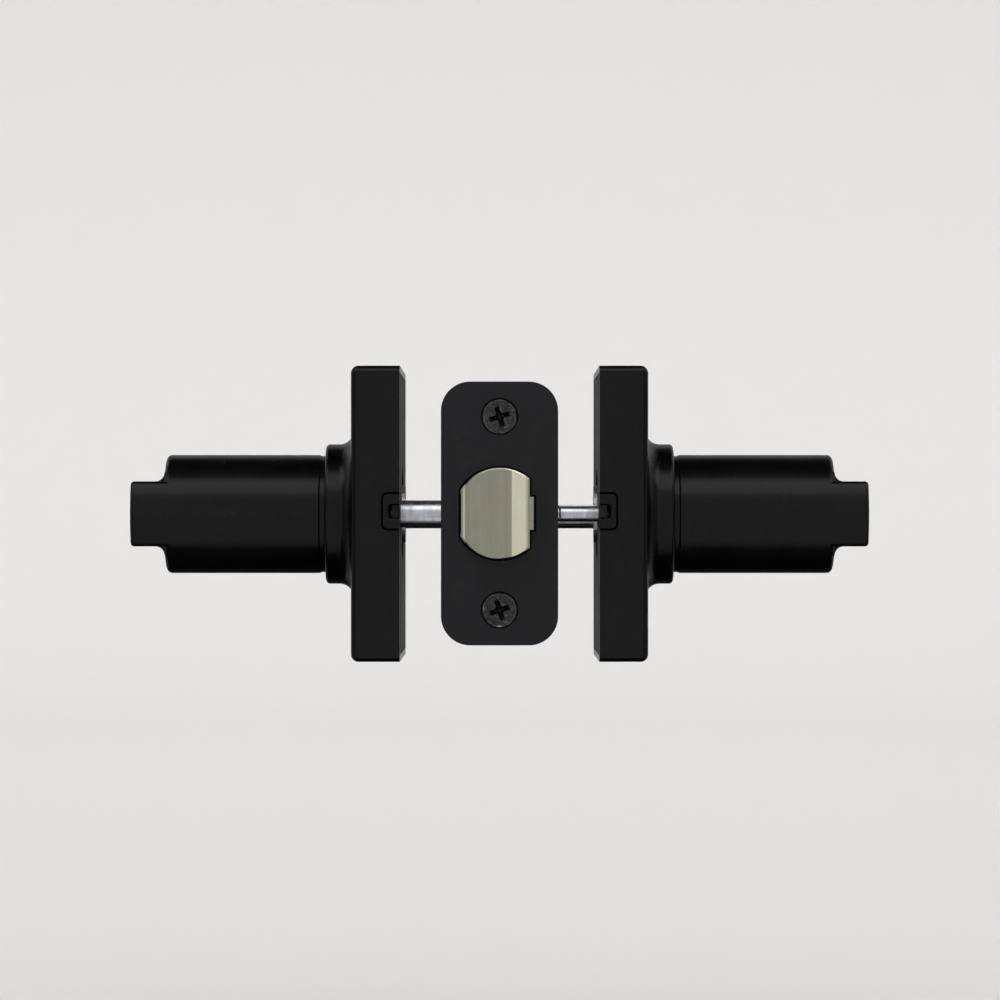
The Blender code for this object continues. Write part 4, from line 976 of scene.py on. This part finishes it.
def panel_group():
    """A soft rectangular panel of light on the sky: brightness by azimuth from a direction and by elevation."""
    inputs = [("Direction", None), ("Facing", None), ("Half width cosine", 0.8)]
    inputs += [("Low", -0.9), ("High", 0.9), ("Soft", 0.06)]
    group, given, result = new_group("light panel", inputs, [("Light", "NodeSocketFloat")])
    direction = given.outputs["Direction"]
    level = node(group, "ShaderNodeVectorMath", [(0, direction), (1, (1, 1, 0))], operation="MULTIPLY")
    level = node(group, "ShaderNodeVectorMath", [(0, level.outputs[0])], operation="NORMALIZE")
    facing = node(
        group, "ShaderNodeVectorMath", [(0, level.outputs[0]), (1, given.outputs["Facing"])], operation="DOT_PRODUCT"
    )
    edge, soft = given.outputs["Half width cosine"], given.outputs["Soft"]
    wide = stretch_range(
        group, facing.outputs["Value"], maths(group, "SUBTRACT", edge, maths(group, "MULTIPLY", soft, 2.0)),
        maths(group, "ADD", edge, soft),
    )
    up = node(group, "ShaderNodeSeparateXYZ", [("Vector", direction)]).outputs["Z"]
    low, high = given.outputs["Low"], given.outputs["High"]
    above = stretch_range(group, up, maths(group, "SUBTRACT", low, soft), maths(group, "ADD", low, soft))
    below = stretch_range(group, up, maths(group, "SUBTRACT", high, soft), maths(group, "ADD", high, soft), 1.0, 0.0)
    light = maths(group, "MULTIPLY", wide, maths(group, "MULTIPLY", above, below))
    group.links.new(light, result.inputs["Light"])
    return group


def surroundings():
    """What the finishes mirror: a bright room in front, a strip above it, and dimmer panels at the sides and back."""
    world = bpy.data.worlds.new("studio")
    bpy.context.scene.world = world
    world.use_nodes = True
    tree = world.node_tree
    direction = node(tree, "ShaderNodeTexCoord").outputs["Generated"]
    group = panel_group()
    total = 0.004  # faint light from everywhere else
    panels = (
        # facing, half width cosine, low, high, soft, brightness
        ((0, -1, 0), 0.80, -0.90, 0.68, 0.05, 0.92),
        ((0, -1, 0), 0.10, 0.655, 0.945, 0.03, 2.40),
        ((-1, 0, 0), 0.52, -0.60, 0.85, 0.05, 0.37),
        ((1, 0, 0), 0.52, -0.60, 0.85, 0.05, 0.37),
        ((0, 1, 0), 0.70, -0.15, 0.22, 0.05, 0.55),
        ((0, 1, 0), -0.20, 0.22, 0.66, 0.08, 0.38),
        ((0, 1, 0), -0.20, -0.62, -0.15, 0.06, 0.03),
    )
    for facing, width, low, high, soft, brightness in panels:
        light = use_group(
            tree, group, Direction=direction, Facing=facing, Half_width_cosine=width, Low=low, High=high, Soft=soft
        )["Light"]
        total = maths(tree, "ADD", maths(tree, "MULTIPLY", light, brightness), total)
    background = tree.nodes["Background"]
    background.inputs["Color"].default_value = (1, 1, 1, 1)
    tree.links.new(total, background.inputs["Strength"])


def soft_light(name, place, aim, size, power):
    """A large lamp for the stage and the shadow under the set; the finishes don't mirror it."""
    data = bpy.data.lights.new(name, "AREA")
    data.shape = "RECTANGLE"
    data.size, data.size_y = size
    data.energy = power
    made = bpy.data.objects.new(name, data)
    made.location = place
    made.rotation_mode = "QUATERNION"
    made.rotation_quaternion = (Vector(aim) - Vector(place)).to_track_quat("-Z", "Y")
    made.visible_glossy = False
    bpy.context.scene.collection.objects.link(made)


def camera():
    data = bpy.data.cameras.new("camera")
    data.lens = 166.3
    data.sensor_width = 36
    data.shift_y = 0.0227
    data.clip_end = 20
    made = bpy.data.objects.new("camera", data)
    made.location = (0.0001, -EDGE - 1.0, -0.002)
    made.rotation_euler = (math.pi / 2, 0, 0)
    bpy.context.scene.collection.objects.link(made)
    bpy.context.scene.camera = made


stage()
surroundings()
soft_light("overhead", (0, 0, 2.9), (0, 0, 0), (3.6, 3.6), 42)
soft_light("front wash", (0, -2.2, 1.6), (0, 1.5, 0.2), (2.4, 1.6), 12)
camera()
bpy.context.scene.view_settings.view_transform = "Standard"
